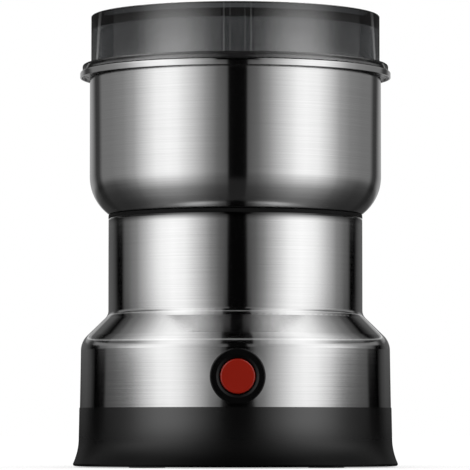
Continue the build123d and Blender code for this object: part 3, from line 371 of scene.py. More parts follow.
def flat_outline(outline, rounds):
    """A flat outline in the XZ plane with picked corners rounded: {corner: (radius, segments)}."""
    shape = bmesh.new()
    corners = [shape.verts.new((r * MM, 0, z * MM)) for r, z in outline]
    shape.faces.new(corners)
    spots = [corner.co.copy() for corner in corners]
    for at, (radius, segments) in rounds.items():
        before = spots[at - 1] - spots[at]
        after = spots[(at + 1) % len(spots)] - spots[at]
        reach = radius * MM / math.tan(before.angle(after) / 2)
        bmesh.ops.bevel(shape, geom=[corners[at]], offset=reach, offset_type="OFFSET", segments=segments,
                        profile=0.5, affect="VERTICES", material=-1)
    return shape


def spin_outline(shape, turns):
    """Spin an outline round the vertical axis in sectors of (angle, steps) and close it."""
    bmesh.ops.delete(shape, geom=list(shape.faces), context="FACES_ONLY")
    on_axis = [e for e in shape.edges if all(abs(v.co.x) < 1e-7 for v in e.verts)]
    bmesh.ops.delete(shape, geom=on_axis, context="EDGES")
    ends = [*shape.verts, *shape.edges]
    for angle, steps in turns:
        spun = bmesh.ops.spin(shape, geom=ends, cent=(0, 0, 0), axis=(0, 0, 1), angle=angle, steps=steps,
                              use_merge=False, use_duplicate=False)
        ends = spun["geom_last"]
    bmesh.ops.remove_doubles(shape, verts=list(shape.verts), dist=0.002 * MM)
    bmesh.ops.recalc_face_normals(shape, faces=list(shape.faces))


def turned(outline, rounds, steps):
    """A shape turned from an outline in even steps."""
    shape = flat_outline(outline, rounds)
    spin_outline(shape, [(FULL_TURN, steps)])
    return shape


def raise_faces(shape, faces, rise):
    """Extrude faces straight up."""
    raised = bmesh.ops.extrude_face_region(shape, geom=faces)
    moved = [v for v in raised["geom"] if isinstance(v, bmesh.types.BMVert)]
    bmesh.ops.translate(shape, vec=(0, 0, rise), verts=moved)


def add_shape(whole, part):
    """Add one shape to another and free it."""
    mesh = bpy.data.meshes.new("part")
    part.to_mesh(mesh)
    part.free()
    whole.from_mesh(mesh)
    bpy.data.meshes.remove(mesh)


def as_object(shape, name):
    """Turn a shape into an object of the scene."""
    mesh = bpy.data.meshes.new(name)
    shape.to_mesh(mesh)
    shape.free()
    made = bpy.data.objects.new(name, mesh)
    bpy.context.scene.collection.objects.link(made)
    return made


def place(shape, name, finish_name, body, slot, *nodes, smooth_angle=40.0):
    """Turn a shape into a finished piece that rides on a body and stands for CAD nodes."""
    piece = as_object(shape, name)
    piece.data.shade_smooth()
    piece.data.set_sharp_from_angle(angle=math.radians(smooth_angle))
    piece.data.materials.append(finish(finish_name))
    even = piece.modifiers.new("even_normals", "WEIGHTED_NORMAL")
    even.keep_sharp = True
    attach(piece, body)
    if nodes:
        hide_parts(*nodes)
    return piece


# ---------------------------------------------------------------- operators

class GRINDER_OT_finishes(bpy.types.Operator):
    """Give every carried-over part the finish of its material slot"""
    bl_idname = "grinder.finishes"
    bl_label = "Finishes"

    def execute(self, context):
        for row in frame["record"]["subparts"]:
            for holder in frame["nodes"][row["node"]].material_slots:
                holder.material = finish(FINISH_OF_SLOT[row["material_slot"]])
        frame["nodes"]["switch_collar"].material_slots[0].material = finish("abs_black_eroded")
        frame["nodes"]["body_shell"].material_slots[0].material = finish("stainless_brushed_neck_painted_shade")
        return {"FINISHED"}


class GRINDER_OT_lid(bpy.types.Operator):
    """Model the smoked lid with its recessed plate, raised rim, liner and grip ribs"""
    bl_idname = "grinder.lid"
    bl_label = "Lid"

    def execute(self, context):
        size = context.scene.grinder_lid
        low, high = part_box("lid")
        bowl_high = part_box("bowl")[1]
        top, rim, spigot_low = high.z / MM, bowl_high.z / MM, low.z / MM
        flange_r = (high.x - low.x) / 2 / MM
        outer, spigot = 49.1, 48.65
        wall, edge = size.wall / MM, size.edge / MM
        inner, rim_in = outer - wall, outer - size.rim_width / MM
        recess = plate = flange = 2.3
        plate_top, plate_low = top - recess, top - (recess + plate)
        liner, liner_in, liner_low = outer - 3.45, outer - 5.1, rim - 2
        flange_top = rim + flange
        outline = [(0, plate_low), (liner_in, plate_low), (liner_in, liner_low), (liner, liner_low),
                   (liner, plate_low), (inner, plate_low), (inner, rim), (spigot - wall, rim),
                   (spigot - wall, spigot_low), (spigot, spigot_low), (spigot, rim), (flange_r, rim),
                   (flange_r, flange_top), (outer, flange_top), (outer, top), (rim_in, top),
                   (rim_in, plate_top), (0, plate_top)]
        rounds = {1: (0.5, 3), 2: (0.5, 3), 3: (0.5, 3), 4: (0.5, 3), 5: (0.5, 3), 8: (0.3, 3), 9: (0.3, 3),
                  11: (0.3, 3), 12: (0.7, 4), 13: (0.3, 3), 14: (edge, 3), 15: (edge, 3), 16: (0.5, 3)}
        shape = flat_outline(outline, rounds)
        # each quarter has one ribbed sector, with steps fine enough to carry its ribs
        ribbed, half_steps, plain_steps = math.radians(13), 26, 38
        plain = (QUARTER - ribbed, plain_steps)
        spin_outline(shape, [(ribbed / 2, half_steps)] + [plain, (ribbed, 2 * half_steps)] * 3
                     + [plain, (ribbed / 2, half_steps)])
        self.raise_ribs(shape, size.rib_proud, outer, edge, flange_top)
        place(shape, "smoked_lid", "styrene_smoked", "lid", "smoked_clear", "lid")
        return {"FINISHED"}

    def raise_ribs(self, shape, proud, outer, edge, flange_top):
        """Raise five soft ribs on the outer wall at each quarter."""
        rib_pitch, rib_half, ribs_aside = 2.04, 0.75 * MM, 2
        pitch = rib_pitch * MM / (outer * MM)
        skin_in, skin_out = (outer - edge * 0.9) * MM, (outer + 0.02) * MM
        for point in shape.verts:
            away = Vector((point.co.x, point.co.y, 0))
            if not skin_in <= away.length <= skin_out or point.co.z < (flange_top - 0.05) * MM:
                continue
            turn = math.atan2(point.co.y, point.co.x) % QUARTER
            turn = turn - QUARTER if turn > QUARTER / 2 else turn
            nearest = max(-ribs_aside, min(ribs_aside, round(turn / pitch))) * pitch
            off = abs(turn - nearest) * outer * MM
            if off < rib_half:
                rise = proud * (1 + math.cos(math.pi * off / rib_half)) / 2
                point.co += away.normalized() * rise


class GRINDER_OT_bowl(bpy.types.Operator):
    """Model the deep-drawn bowl with its curved corner and turned-down rim"""
    bl_idname = "grinder.bowl"
    bl_label = "Bowl"

    def execute(self, context):
        size = context.scene.grinder_steel
        low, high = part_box("bowl")
        rim_r, top, seat = high.x / MM, high.z / MM, low.z / MM
        sheet, corner, lip, rim_width, hole = 0.6, 15.8, 2.2, 3.3, 6.6
        wall = rim_r - rim_width
        outline = [(hole, seat), (wall, seat), (wall, top - sheet), (rim_r - sheet, top - sheet),
                   (rim_r - sheet, top - lip), (rim_r, top - lip), (rim_r, top), (wall - sheet, top),
                   (wall - sheet, seat + sheet), (hole, seat + sheet)]
        bend = size.bend / MM
        rounds = {1: (corner, 28), 2: (0.4, 3), 3: (bend - sheet, 4), 4: (0.2, 2), 5: (0.12, 2),
                  6: (bend, 6), 7: (0.9, 5), 8: (corner - sheet, 28)}
        shape = turned(outline, rounds, size.steps)
        place(shape, "brushed_bowl", "stainless_brushed_round", "housing", "brushed_stainless", "bowl")
        return {"FINISHED"}


class GRINDER_OT_seat_ring(bpy.types.Operator):
    """Model the near-black ring that closes the joint between the bowl and the body, as painted shade for
    the dark gap there
    """
    bl_idname = "grinder.seat_ring"
    bl_label = "Seat ring"

    def execute(self, context):
        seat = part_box("bowl")[0].z / MM
        lip, lip_r, neck_r = seat + 2.5, 42.48, 43.2
        # along the bowl's corner and down it, then back up inside the neck
        from_lip = [(0.05, 0.03), (0.25, -0.17), (0.56, -0.67), (0.66, -0.92), (0.76, -0.82),
                    (neck_r - 0.02 - lip_r, 0.42), (0.24, 0.13)]
        outline = [(lip_r + out, lip + up) for out, up in from_lip]
        shape = turned(outline, {4: (0.05, 2), 5: (0.15, 3)}, context.scene.grinder_steel.steps)
        # painted shade: a near-black ring where the joint between bowl and body is only in shade
        place(shape, "bowl_joint_shade_ring", "joint_shade_black", "housing", "black_rubber")
        return {"FINISHED"}


class GRINDER_OT_blade(bpy.types.Operator):
    """Model the cutting blade with its ground edges, and the nut that holds it"""
    bl_idname = "grinder.blade"
    bl_label = "Blade and nut"

    def execute(self, context):
        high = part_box("blade")[1]
        washer_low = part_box("blade_washer")[0].z / MM
        thick, bore = 1.8, 2.5
        hub_z, hub_r, tip = washer_low - thick, high.y / MM, high.x / MM
        root = hub_r - 2.0
        blade = turned([(bore, hub_z), (hub_r, hub_z), (hub_r, washer_low), (bore, washer_low)],
                       {1: (0.25, 2), 2: (0.25, 2)}, 64)
        # one arm bends up and the other slightly down
        for turn, lean in ((0.0, 16.0), (180.0, -4.0)):
            length = tip / math.cos(math.radians(lean)) - 1.4
            where = (Matrix.Translation((0, 0, hub_z * MM)) @ Matrix.Rotation(math.radians(turn), 4, "Z")
                     @ Matrix.Translation((root * MM, 0, 0)) @ Matrix.Rotation(math.radians(-lean), 4, "Y"))
            self.add_arm(blade, length - root, thick, where)
        place(blade, "cutting_blade", "stainless_ground", "rotor", "polished_stainless", "blade",
              smooth_angle=25)
        place(self.nut(), "blade_hex_nut", "stainless_ground", "rotor", "polished_stainless", "blade_nut",
              smooth_angle=25)
        return {"FINISHED"}

    def add_arm(self, blade, reach, thick, where):
        """Add one arm, made flat along X from its root and then set where it belongs."""
        half_root, half_tip, tip_back = 5.5, 6.0, 2.0
        arm = flat_outline([(0, -half_root), (reach, -half_tip), (reach - tip_back, 0), (0, half_root)],
                           {1: (1.2, 5), 2: (1.5, 5)})
        bmesh.ops.transform(arm, matrix=Matrix.Rotation(math.radians(-90), 4, "X"), verts=list(arm.verts))
        raise_faces(arm, list(arm.faces), thick * MM)
        bmesh.ops.recalc_face_normals(arm, faces=list(arm.faces))
        # the cutting edge is ground to 0.35 mm along its front
        edge, ground = (0, 6.0 * MM, 0.35 * MM), (0, 1.45, 3.0)
        cut = bmesh.ops.bisect_plane(arm, geom=[*arm.verts, *arm.edges, *arm.faces], dist=1e-7,
                                     plane_co=edge, plane_no=ground, clear_outer=True)
        rims = [e for e in cut["geom_cut"] if isinstance(e, bmesh.types.BMEdge)]
        bmesh.ops.holes_fill(arm, edges=rims, sides=0)
        bmesh.ops.recalc_face_normals(arm, faces=list(arm.faces))
        bmesh.ops.transform(arm, matrix=where, verts=list(arm.verts))
        add_shape(blade, arm)

    def nut(self):
        """A hexagon nut with chamfered rims and a sunk bore mouth."""
        low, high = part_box("blade_nut")
        chamfer, land, sunk = 0.35 * MM, 1.3 * MM, 0.25 * MM
        nut = bmesh.new()
        bmesh.ops.create_cone(nut, cap_ends=True, segments=6, radius1=high.x, radius2=high.x,
                              depth=high.z - low.z, matrix=Matrix.Translation((0, 0, (low.z + high.z) / 2)))
        rims = [e for e in nut.edges if abs(e.verts[0].co.z - e.verts[1].co.z) < 1e-6]
        bmesh.ops.bevel(nut, geom=rims, offset=chamfer, offset_type="OFFSET", segments=2, profile=0.5,
                        affect="EDGES", material=-1)
        caps = [f for f in nut.faces if abs(f.normal.z) > 0.99 and len(f.verts) == 6]
        bmesh.ops.inset_individual(nut, faces=caps, thickness=land, depth=0.0)
        bmesh.ops.inset_individual(nut, faces=caps, thickness=sunk, depth=-sunk)
        return nut


class GRINDER_OT_cover_screws(bpy.types.Operator):
    """Model the four cross-recess screws of the bottom cover"""
    bl_idname = "grinder.cover_screws"
    bl_label = "Cover screws"

    def execute(self, context):
        circle = 44.0
        screw = self.screw()
        screws = bmesh.new()
        for angle in (20, 160, 200, 340):
            turn = math.radians(angle)
            spot = (circle * MM * math.cos(turn), circle * MM * math.sin(turn), 0)
            one = screw.copy()
            bmesh.ops.transform(one, verts=list(one.verts),
                                matrix=Matrix.Translation(spot) @ Matrix.Rotation(turn * 2, 4, "Z"))
            add_shape(screws, one)
        screw.free()
        place(screws, "cross_head_screws", "steel_zinc_plated", "housing", "zinc_steel",
              "bottom_cover_screws", smooth_angle=30)
        return {"FINISHED"}

    def screw(self):
        """One screw on the vertical axis, its head down."""
        low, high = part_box("bottom_cover_screws")
        head_low, head_high, tip = low.z / MM, low.z / MM + 1.2, high.z / MM
        head_r, shank_r, tip_r = 2.7, 1.4, 0.3
        half_pitch, thread_deep, plain_shank = 0.4, 0.25, 0.8
        core, recess, recess_deep, arm_half = 0.6, 1.5, 0.7, math.radians(14.5)
        steps = int((tip - head_high - 2.0) / half_pitch)
        threads = [(shank_r - (0 if step % 2 else thread_deep), head_high + plain_shank + step * half_pitch)
                   for step in range(steps)]
        outline = [(0, head_low), (core, head_low), (recess, head_low), (head_r, head_low),
                   (head_r, head_high), (shank_r - thread_deep, head_high), *threads, (tip_r, tip), (0, tip)]
        screw = flat_outline(outline, {3: (0.8, 5), 4: (0.1, 1)})
        rest = (QUARTER - 2 * arm_half, 5)
        spin_outline(screw, [(arm_half, 1)] + [rest, (2 * arm_half, 2)] * 3 + [rest, (arm_half, 1)])
        outside = (head_low + 0.01) * MM
        crossed = []
        for face in screw.faces:
            middle = face.calc_center_median()
            away = math.hypot(middle.x, middle.y)
            turn = math.atan2(middle.y, middle.x) % QUARTER
            in_arm = away < recess * MM and min(turn, QUARTER - turn) < arm_half
            if middle.z < outside and (away < core * MM or in_arm):
                crossed.append(face)
        # on the core's circle an arm takes a wider angle, so that it keeps its width
        arm_half_at_core, rest_at_core = 0.63, 0.2
        for point in screw.verts:
            away = math.hypot(point.co.x, point.co.y)
            if abs(away - core * MM) < 0.01 * MM and point.co.z < outside:
                turn = math.atan2(point.co.y, point.co.x)
                near = round(turn / QUARTER) * QUARTER
                off = turn - near
                share = (min(abs(off) / arm_half, 1) * arm_half_at_core
                         + max(0, abs(off) - arm_half) * rest_at_core)
                spread = near + math.copysign(share, off) if abs(off) > 1e-6 else turn
                point.co.x, point.co.y = away * math.cos(spread), away * math.sin(spread)
        raise_faces(screw, crossed, recess_deep * MM)
        bmesh.ops.delete(screw, geom=crossed, context="FACES")
        bmesh.ops.recalc_face_normals(screw, faces=list(screw.faces))
        return screw


class GRINDER_OT_springs(bpy.types.Operator):
    """Model the three coil springs that the button and the brushes press"""
    bl_idname = "grinder.springs"
    bl_label = "Springs"

    def execute(self, context):
        # turns of wire, the axis that the spring lies along, and which of its ends stays put
        for node_name, joint, turns, along, fixed in (
                ("button_spring", "button_press", 5, 1, "high"),
                ("brush_spring_right", "brush_right_slide", 6, 0, "high"),
                ("brush_spring_left", "brush_left_slide", 6, 0, "low")):
            low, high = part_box(node_name)
            length = high[along] - low[along]
            across = high.z - low.z
            shape = self.coil(across / 2, length, turns)
            middle = (low + high) / 2
            tipped = Matrix.Rotation(math.radians(-90 if along else 90), 4, "X" if along else "Y")
            bmesh.ops.transform(shape, matrix=Matrix.Translation(middle) @ tipped, verts=list(shape.verts))
            piece = place(shape, node_name + "_coil", "steel_spring", "housing", "zinc_steel", node_name)
            anchor = middle.copy()
            anchor[along] = high[along] if fixed == "high" else low[along]
            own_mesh(piece)
        return {"FINISHED"}

    def coil(self, radius, length, turns):
        """Round wire wound along the vertical axis, centred on the origin."""
        wire, wire_sides, per_turn = 0.3 * MM, 12, 28
        start = Matrix.Translation((radius - wire, 0, wire - length / 2))
        shape = bmesh.new()
        bmesh.ops.create_circle(shape, cap_ends=False, radius=wire, segments=wire_sides,
                                matrix=start @ Matrix.Rotation(math.radians(90), 4, "X"))
        rise = (length - 2 * wire) / (turns * per_turn)
        bmesh.ops.spin(shape, geom=[*shape.verts, *shape.edges], cent=(0, 0, 0), axis=(0, 0, 1),
                       dvec=(0, 0, rise), angle=turns * FULL_TURN, steps=turns * per_turn,
                       use_merge=False, use_duplicate=False)
        bmesh.ops.holes_fill(shape, edges=[e for e in shape.edges if e.is_boundary], sides=0)
        bmesh.ops.recalc_face_normals(shape, faces=list(shape.faces))
        return shape


class GRINDER_OT_button(bpy.types.Operator):
    """Model the red push cap with its rounded edge and faintly dished face"""
    bl_idname = "grinder.button"
    bl_label = "Button"

    def execute(self, context):
        size = context.scene.grinder_plastic
        low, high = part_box("button_cap")
        height = (low.z + high.z) / 2
        face, back = -low.y / MM, -high.y / MM
        skirt = (high.x - low.x) / 2 / MM
        radius, skirt_thick, land = skirt - 0.9, 1, 1.0
        dish, edge = size.cap_dish / MM, size.cap_edge / MM
        outline = [(0, back), (skirt, back), (skirt, back + skirt_thick), (radius, back + skirt_thick),
                   (radius, face), (radius - land, face), (0, face - dish)]
        shape = turned(outline, {1: (0.2, 2), 2: (0.2, 2), 4: (edge, 6), 5: (1.5, 4)}, 96)
        to_front = Matrix.Translation((0, 0, height)) @ Matrix.Rotation(math.radians(90), 4, "X")
        bmesh.ops.transform(shape, matrix=to_front, verts=list(shape.verts))
        place(shape, "push_cap", "abs_red_gloss", "button", "red_cap", "button_cap")
        return {"FINISHED"}


# Stops of the reflection cards, as pairs of degrees and brightness. They go by the angle round the grinder
# of the surface that mirrors them to the front, and BELOW_TABLE_EDGE by twice its steepness.
BELOW_TABLE_EDGE = [
    (-180, .25), (-110, .22), (-80, .12), (-68, .12), (-38, .26), (-12, .75), (-4, 1), (180, 1)]
BOWL_CARDS = [
    (0, .002), (3.2, .003), (3.8, .08), (7.6, .13), (11.3, .26), (17, .57), (22.7, .86), (26, .91),
    (31.3, .84), (36, .61), (41.8, .31), (47.5, .2), (55, .155), (62.4, .14), (65.6, .035), (68.8, .03),
    (73.2, .15), (77.5, .21), (90, .2)]
HIGH_CARDS = BOWL_CARDS[:9] + [
    (37, .62), (42.8, .33), (48.5, .215), (55, .165), (62.9, .16), (66, .035), (68.8, .03), (72.6, .15),
    (77, .21), (90, .2)]
NECK_CARDS = [
    (0, .001), (3.9, .001), (4.5, .06), (7.6, .09), (11.4, .2), (17.2, .52), (22.9, .86), (28.6, .99),
    (34.4, .93), (37.3, .82), (43, .5), (48.9, .22), (54.7, .115), (58, .08), (60.8, 0), (65, 0),
    (69, .045), (72.4, .065), (90, .075)]
LOWER_BODY_CARDS = [
    (0, .001), (5.2, .001), (6.2, .09), (9.4, .2), (14, .48), (19.8, .82), (24, .9), (28.3, .82),
    (34, .5), (36.9, .31), (39.7, .18), (43, .11), (48.4, .08), (53.2, .065), (55, 0), (61.5, 0),
    (65.5, .05), (70, .075), (90, .09)]


class GRINDER_OT_stage(bpy.types.Operator):
    """Set the table, the soft light, the reflection cards and the camera"""
    bl_idname = "grinder.stage"
    bl_label = "Stage"

    def execute(self, context):
        scene = context.scene
        size = scene.grinder_stage
        scene.view_settings.view_transform = "Standard"
        self.light_world(scene)
        self.lay_table(size)
        self.hang_cards(size)
        self.set_camera(scene, size)
        return {"FINISHED"}

    def light_world(self, scene):
        """White light from all round, which metal doesn't mirror, since it mirrors the cards."""
        scene.world = bpy.data.worlds.new("soft_room")
        scene.world.use_nodes = True
        tree = scene.world.node_tree
        tree.nodes.clear()
        room = node(tree, "ShaderNodeBackground", {"Color": WHITE, "Strength": 1.0})
        node(tree, "ShaderNodeOutputWorld", {"Surface": room})
        scene.world.cycles_visibility.glossy = False

    def lay_table(self, size):
        """A pale table that glows for the camera, also through the lid, and so joins the white room."""
        half_size, below_feet, seen_glow = 6.0, 0.05 * MM, 0.5
        shape = bmesh.new()
        bmesh.ops.create_grid(shape, x_segments=1, y_segments=1, size=half_size,
                              matrix=Matrix.Translation((0, 0, -below_feet)))
        table = self.stage_object(shape, "table_top")
        made, tree = new_material("white_table")
        path = node(tree, "ShaderNodeLightPath")
        seen = node(tree, "ShaderNodeMath", {
            0: path.outputs["Is Camera Ray"], 1: path.outputs["Is Transmission Ray"]}, operation="MAXIMUM")
        part = node(tree, "ShaderNodeMath", {0: seen, 1: seen_glow}, operation="MULTIPLY")
        paint = node(tree, "ShaderNodeBsdfDiffuse", {"Color": tuple(size.table)})
        glow = node(tree, "ShaderNodeEmission", {"Color": WHITE, "Strength": part})
        both = node(tree, "ShaderNodeAddShader", {0: paint, 1: glow})
        node(tree, "ShaderNodeOutputMaterial", {"Surface": both})
        table.data.materials.append(made)
        table.visible_glossy = False

    def hang_cards(self, size):
        """Domes that only reflections see: two tall soft cards in front, dark gaps between and beside."""
        for scale, name, link, pieces, pattern in (
                (1.0, "body_cards", "EXCLUDE", ("brushed_bowl", "smoked_lid"), self.body_pattern),
                (1.02, "bowl_cards", "INCLUDE", ("brushed_bowl",), self.bowl_pattern),
                (1.04, "lid_cards", "INCLUDE", ("smoked_lid",), self.lid_pattern)):
            self.card_dome(size, scale, name, link, pieces, pattern)

    def card_dome(self, size, scale, name, link, pieces, pattern):
        """One dome, which the named pieces alone mirror, or all but them."""
        centre, off_axis = 75 * MM, math.radians(-0.8)
        behind_from, behind_to = 0.8, 0.95
        shape = bmesh.new()
        bmesh.ops.create_uvsphere(shape, u_segments=96, v_segments=48, radius=size.card_radius * scale,
                                  matrix=Matrix.Translation((0, 0, centre)))
        dome = self.stage_object(shape, name)
        mirrored_by = bpy.data.collections.new(name + "_receivers")
        for at, piece in enumerate(pieces):
            mirrored_by.objects.link(bpy.data.objects[piece])
            mirrored_by.collection_objects[at].light_linking.link_state = link
        dome.light_linking.receiver_collection = mirrored_by
        made, tree = new_material(name)
        coords = node(tree, "ShaderNodeTexCoord")
        middle = node(tree, "ShaderNodeMapping", {
            "Vector": coords.outputs["Object"], "Location": (0, 0, -centre), "Rotation": (0, 0, off_axis)})
        way = node(tree, "ShaderNodeVectorMath", {0: middle}, operation="NORMALIZE")
        part = node(tree, "ShaderNodeSeparateXYZ", {0: way})
        rise = node(tree, "ShaderNodeMath", {0: part.outputs["Z"]}, operation="ARCSINE")
        side = node(tree, "ShaderNodeMath", {0: part.outputs["X"]}, operation="ABSOLUTE")
        back = node(tree, "ShaderNodeMath", {0: 1.0, 1: part.outputs["Y"]}, operation="SUBTRACT")
        turn = node(tree, "ShaderNodeMath", {0: side, 1: back}, operation="ARCTAN2")
        # behind the body, half of the plain azimuth, which has no kink there
        front = node(tree, "ShaderNodeMath", {0: part.outputs["Y"], 1: -1.0}, operation="MULTIPLY")
        azimuth = node(tree, "ShaderNodeMath", {0: side, 1: front}, operation="ARCTAN2")
        half_turn = node(tree, "ShaderNodeMath", {0: azimuth, 1: 0.5}, operation="MULTIPLY")
        behind = node(tree, "ShaderNodeMapRange", {
            "Value": part.outputs["Y"], "From Min": behind_from, "From Max": behind_to})
        turned_by = node(tree, "ShaderNodeMix", {0: behind, 2: turn, 3: half_turn}, data_type="FLOAT")
        # steepness of the surface that mirrors this point to the front
        out = node(tree, "ShaderNodeVectorMath", {0: way, 1: (0.0, 1.0, 0.0)}, operation="SUBTRACT")
        half = node(tree, "ShaderNodeVectorMath", {0: out}, operation="NORMALIZE")
        half_part = node(tree, "ShaderNodeSeparateXYZ", {0: half})
        lean_back = node(tree, "ShaderNodeMath", {0: half_part.outputs["Z"]}, operation="ARCSINE")
        # angle, level and twice the steepness, in degrees
        angle, level, steep = (
            node(tree, "ShaderNodeMath", {0: radians, 1: times * math.degrees(1)}, operation="MULTIPLY")
            for radians, times in ((turned_by, 1), (rise, 1), (lean_back, 2)))
        value = pattern(tree, angle, level, steep)
        strength = node(tree, "ShaderNodeMath", {0: value, 1: size.card_level}, operation="MULTIPLY")
        glow = node(tree, "ShaderNodeEmission", {"Color": WHITE, "Strength": strength})
        clear = node(tree, "ShaderNodeBsdfTransparent")
        both = node(tree, "ShaderNodeAddShader", {0: glow, 1: clear})
        node(tree, "ShaderNodeOutputMaterial", {"Surface": both})
        made.cycles.emission_sampling = "NONE"
        dome.data.materials.append(made)
        for ray in ("camera", "diffuse", "transmission", "shadow", "volume_scatter"):
            setattr(dome, "visible_" + ray, False)

    def steps_over(self, tree, value, stops):
        """A grey ramp over the degrees of its stops."""
        low, high = stops[0][0], stops[-1][0]
        share = node(tree, "ShaderNodeMapRange", {"Value": value, "From Min": low, "From Max": high})
        ramp = node(tree, "ShaderNodeValToRGB", {0: share})
        items = ramp.color_ramp.elements
        while len(items) < len(stops):
            items.new(0.5)
        for item, (at, grey) in zip(items, stops):
            item.position = (at - low) / (high - low)
            item.color = (grey, grey, grey, 1.0)
        return ramp

    def bowl_pattern(self, tree, angle, level, steep):
        """Cards as the bowl mirrors them: dim under its rounded corner, more so at the ends."""
        cards = self.steps_over(tree, angle, BOWL_CARDS)
        below = self.steps_over(tree, steep, BELOW_TABLE_EDGE)
        fill = self.steps_over(tree, steep, [(-180, .01), (-60, .014), (-24, .012), (-12, 0), (180, 0)])
        is_corner = node(tree, "ShaderNodeMapRange", {"Value": steep, "From Min": 2.0, "From Max": -20.0})
        ends = node(tree, "ShaderNodeMapRange", {
            "Value": angle, "From Min": 40.0, "From Max": 54.0, "To Min": 1.0, "To Max": 0.42})
        corner_ends = node(tree, "ShaderNodeMix", {0: is_corner, 2: 1.0, 3: ends}, data_type="FLOAT")
        # the shoulder mirrors the bowl's underside, where the dark gap has to spread
        spread = self.steps_over(tree, angle, [(0, 0), (6.4, 0), (8.2, 1), (90, 1)])
        is_high = node(tree, "ShaderNodeMapRange", {"Value": level, "From Min": 13.5, "From Max": 15.5})
        gap = node(tree, "ShaderNodeMix", {0: is_high, 2: 1.0, 3: spread}, data_type="FLOAT")
        total = cards
        for factor in (gap, below, corner_ends):
            total = node(tree, "ShaderNodeMath", {0: total, 1: factor}, operation="MULTIPLY")
        return node(tree, "ShaderNodeMath", {0: total, 1: fill}, operation="ADD")

    def lid_pattern(self, tree, angle, level, steep):
        """The body's cards as the lid mirrors them: brighter near its foot, and never quite black."""
        cards = self.body_pattern(tree, angle, level, steep)
        lift = self.steps_over(tree, level, [
            (-90, .5), (12, .8), (13.2, .76), (14.4, .56), (15.2, .46), (15.35, .3), (15.75, .3),
            (15.9, .46), (90, .5)])
        ends = self.steps_over(tree, angle, [(0, 1), (56, 1), (64, .35), (90, .12)])
        dimmed = node(tree, "ShaderNodeMath", {0: lift, 1: ends}, operation="MULTIPLY")
        # a ramp's greys end at 1, so the lift is given at half its value
        lifted = node(tree, "ShaderNodeMath", {0: dimmed, 1: 2.0}, operation="MULTIPLY")
        total = node(tree, "ShaderNodeMath", {0: cards, 1: lifted}, operation="MULTIPLY")
        fill = self.steps_over(tree, angle, [(0, .055), (20, .055), (50, .03), (70, .012), (90, .008)])
        return node(tree, "ShaderNodeMath", {0: total, 1: fill}, operation="MAXIMUM")

    def body_pattern(self, tree, angle, level, steep):
        """Cards as neck and lower body mirror them, with a thin bar overhead that draws the creases."""
        high_cards = self.steps_over(tree, angle, HIGH_CARDS)
        neck_cards = self.steps_over(tree, angle, NECK_CARDS)
        low_cards = self.steps_over(tree, angle, LOWER_BODY_CARDS)
        is_top = node(tree, "ShaderNodeMapRange", {"Value": steep, "From Min": 30.0, "From Max": 36.0})
        seen_low = self.steps_over(tree, level, [
            (-90, 0), (-13, 0), (-9.5, 1), (-2.6, 1), (-1.2, 0), (11.8, 0), (12.8, 1), (90, 1)])
        seen_high = self.steps_over(tree, level, [
            (-90, 0), (4.6, 0), (6, 1), (11.8, 1), (12.8, 0), (90, 0)])
        # the sloping shoulder mirrors the wider dark gap, and a blend of the cards beside it
        top_share = self.steps_over(tree, angle, [(0, .92), (7, .92), (13, .5), (90, .5)])
        low_part = node(tree, "ShaderNodeMix", {0: is_top, 2: seen_low, 3: top_share}, data_type="FLOAT")
        low_mix = node(tree, "ShaderNodeMix", {0: low_part, 2: neck_cards, 3: low_cards}, data_type="FLOAT")
        cards = node(tree, "ShaderNodeMix", {0: seen_high, 2: low_mix, 3: high_cards}, data_type="FLOAT")
        below = self.steps_over(tree, steep, BELOW_TABLE_EDGE)
        bar = self.steps_over(tree, steep, [
            (-180, 0), (35.5, 0), (37, .3), (40, .3), (41.5, 0), (180, 0)])
        total = node(tree, "ShaderNodeMath", {0: cards, 1: below}, operation="MULTIPLY")
        return node(tree, "ShaderNodeMath", {0: total, 1: bar}, operation="ADD")

    def stage_object(self, shape, name):
        made = as_object(shape, name)
        return made

    def set_camera(self, scene, size):
        """A long lens 1.3 m in front, just above the table."""
        stands, looks_at = (-0.018, -1.298, 0.0125), (-0.00014, 0, 0.0788)
        view = bpy.data.cameras.new("front_view")
        view.lens = size.lens
        view.sensor_width = 36.0
        view.clip_start, view.clip_end = 0.05, 50.0
        camera = bpy.data.objects.new("front_view", view)
        scene.collection.objects.link(camera)
        camera.location = stands
        aim = Vector(looks_at) - camera.location
        camera.rotation_euler = aim.to_track_quat("-Z", "Y").to_euler()
        scene.camera = camera


class GRINDER_PT_panel(bpy.types.Panel):
    """Lists the grinder's settings and the operators that make it"""
    bl_idname = "GRINDER_PT_panel"
    bl_label = "Spice Grinder"
    bl_space_type = "VIEW_3D"
    bl_region_type = "UI"
    bl_category = "Grinder"

    def draw(self, context):
        layout = self.layout
        for holder in SETTINGS:
            box = layout.box()
            group = getattr(context.scene, holder)
            for name in group.bl_rna.properties.keys():
                if name not in ("rna_type", "name"):
                    box.prop(group, name)
        for kind in OPERATORS:
            layout.operator(kind.bl_idname)


SETTINGS = {
    "grinder_lid": GrinderLidSettings,
    "grinder_steel": GrinderSteelSettings,
    "grinder_plastic": GrinderPlasticSettings,
    "grinder_stage": GrinderStageSettings,
}
OPERATORS = [GRINDER_OT_finishes, GRINDER_OT_lid, GRINDER_OT_bowl, GRINDER_OT_seat_ring, GRINDER_OT_blade,
             GRINDER_OT_cover_screws, GRINDER_OT_springs, GRINDER_OT_button, GRINDER_OT_stage]


def register():
    for kind in (*SETTINGS.values(), *OPERATORS, GRINDER_PT_panel):
        bpy.utils.register_class(kind)
    for holder, group in SETTINGS.items():
        setattr(bpy.types.Scene, holder, PointerProperty(type=group))


def unregister():
    for holder in SETTINGS:
        delattr(bpy.types.Scene, holder)
    for kind in (GRINDER_PT_panel, *reversed(OPERATORS), *SETTINGS.values()):
        bpy.utils.unregister_class(kind)


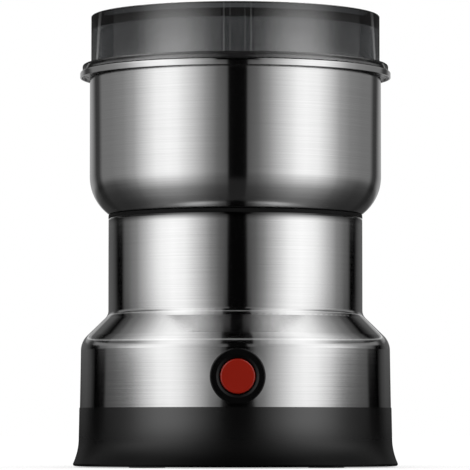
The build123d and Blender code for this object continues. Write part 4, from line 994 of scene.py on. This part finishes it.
def main():
    register()
    bpy.ops.grinder.finishes()
    bpy.ops.grinder.lid()
    bpy.ops.grinder.bowl()
    bpy.ops.grinder.seat_ring()
    bpy.ops.grinder.blade()
    bpy.ops.grinder.cover_screws()
    bpy.ops.grinder.springs()
    bpy.ops.grinder.button()
    bpy.ops.grinder.stage()


if __name__ == "__main__":
    main()
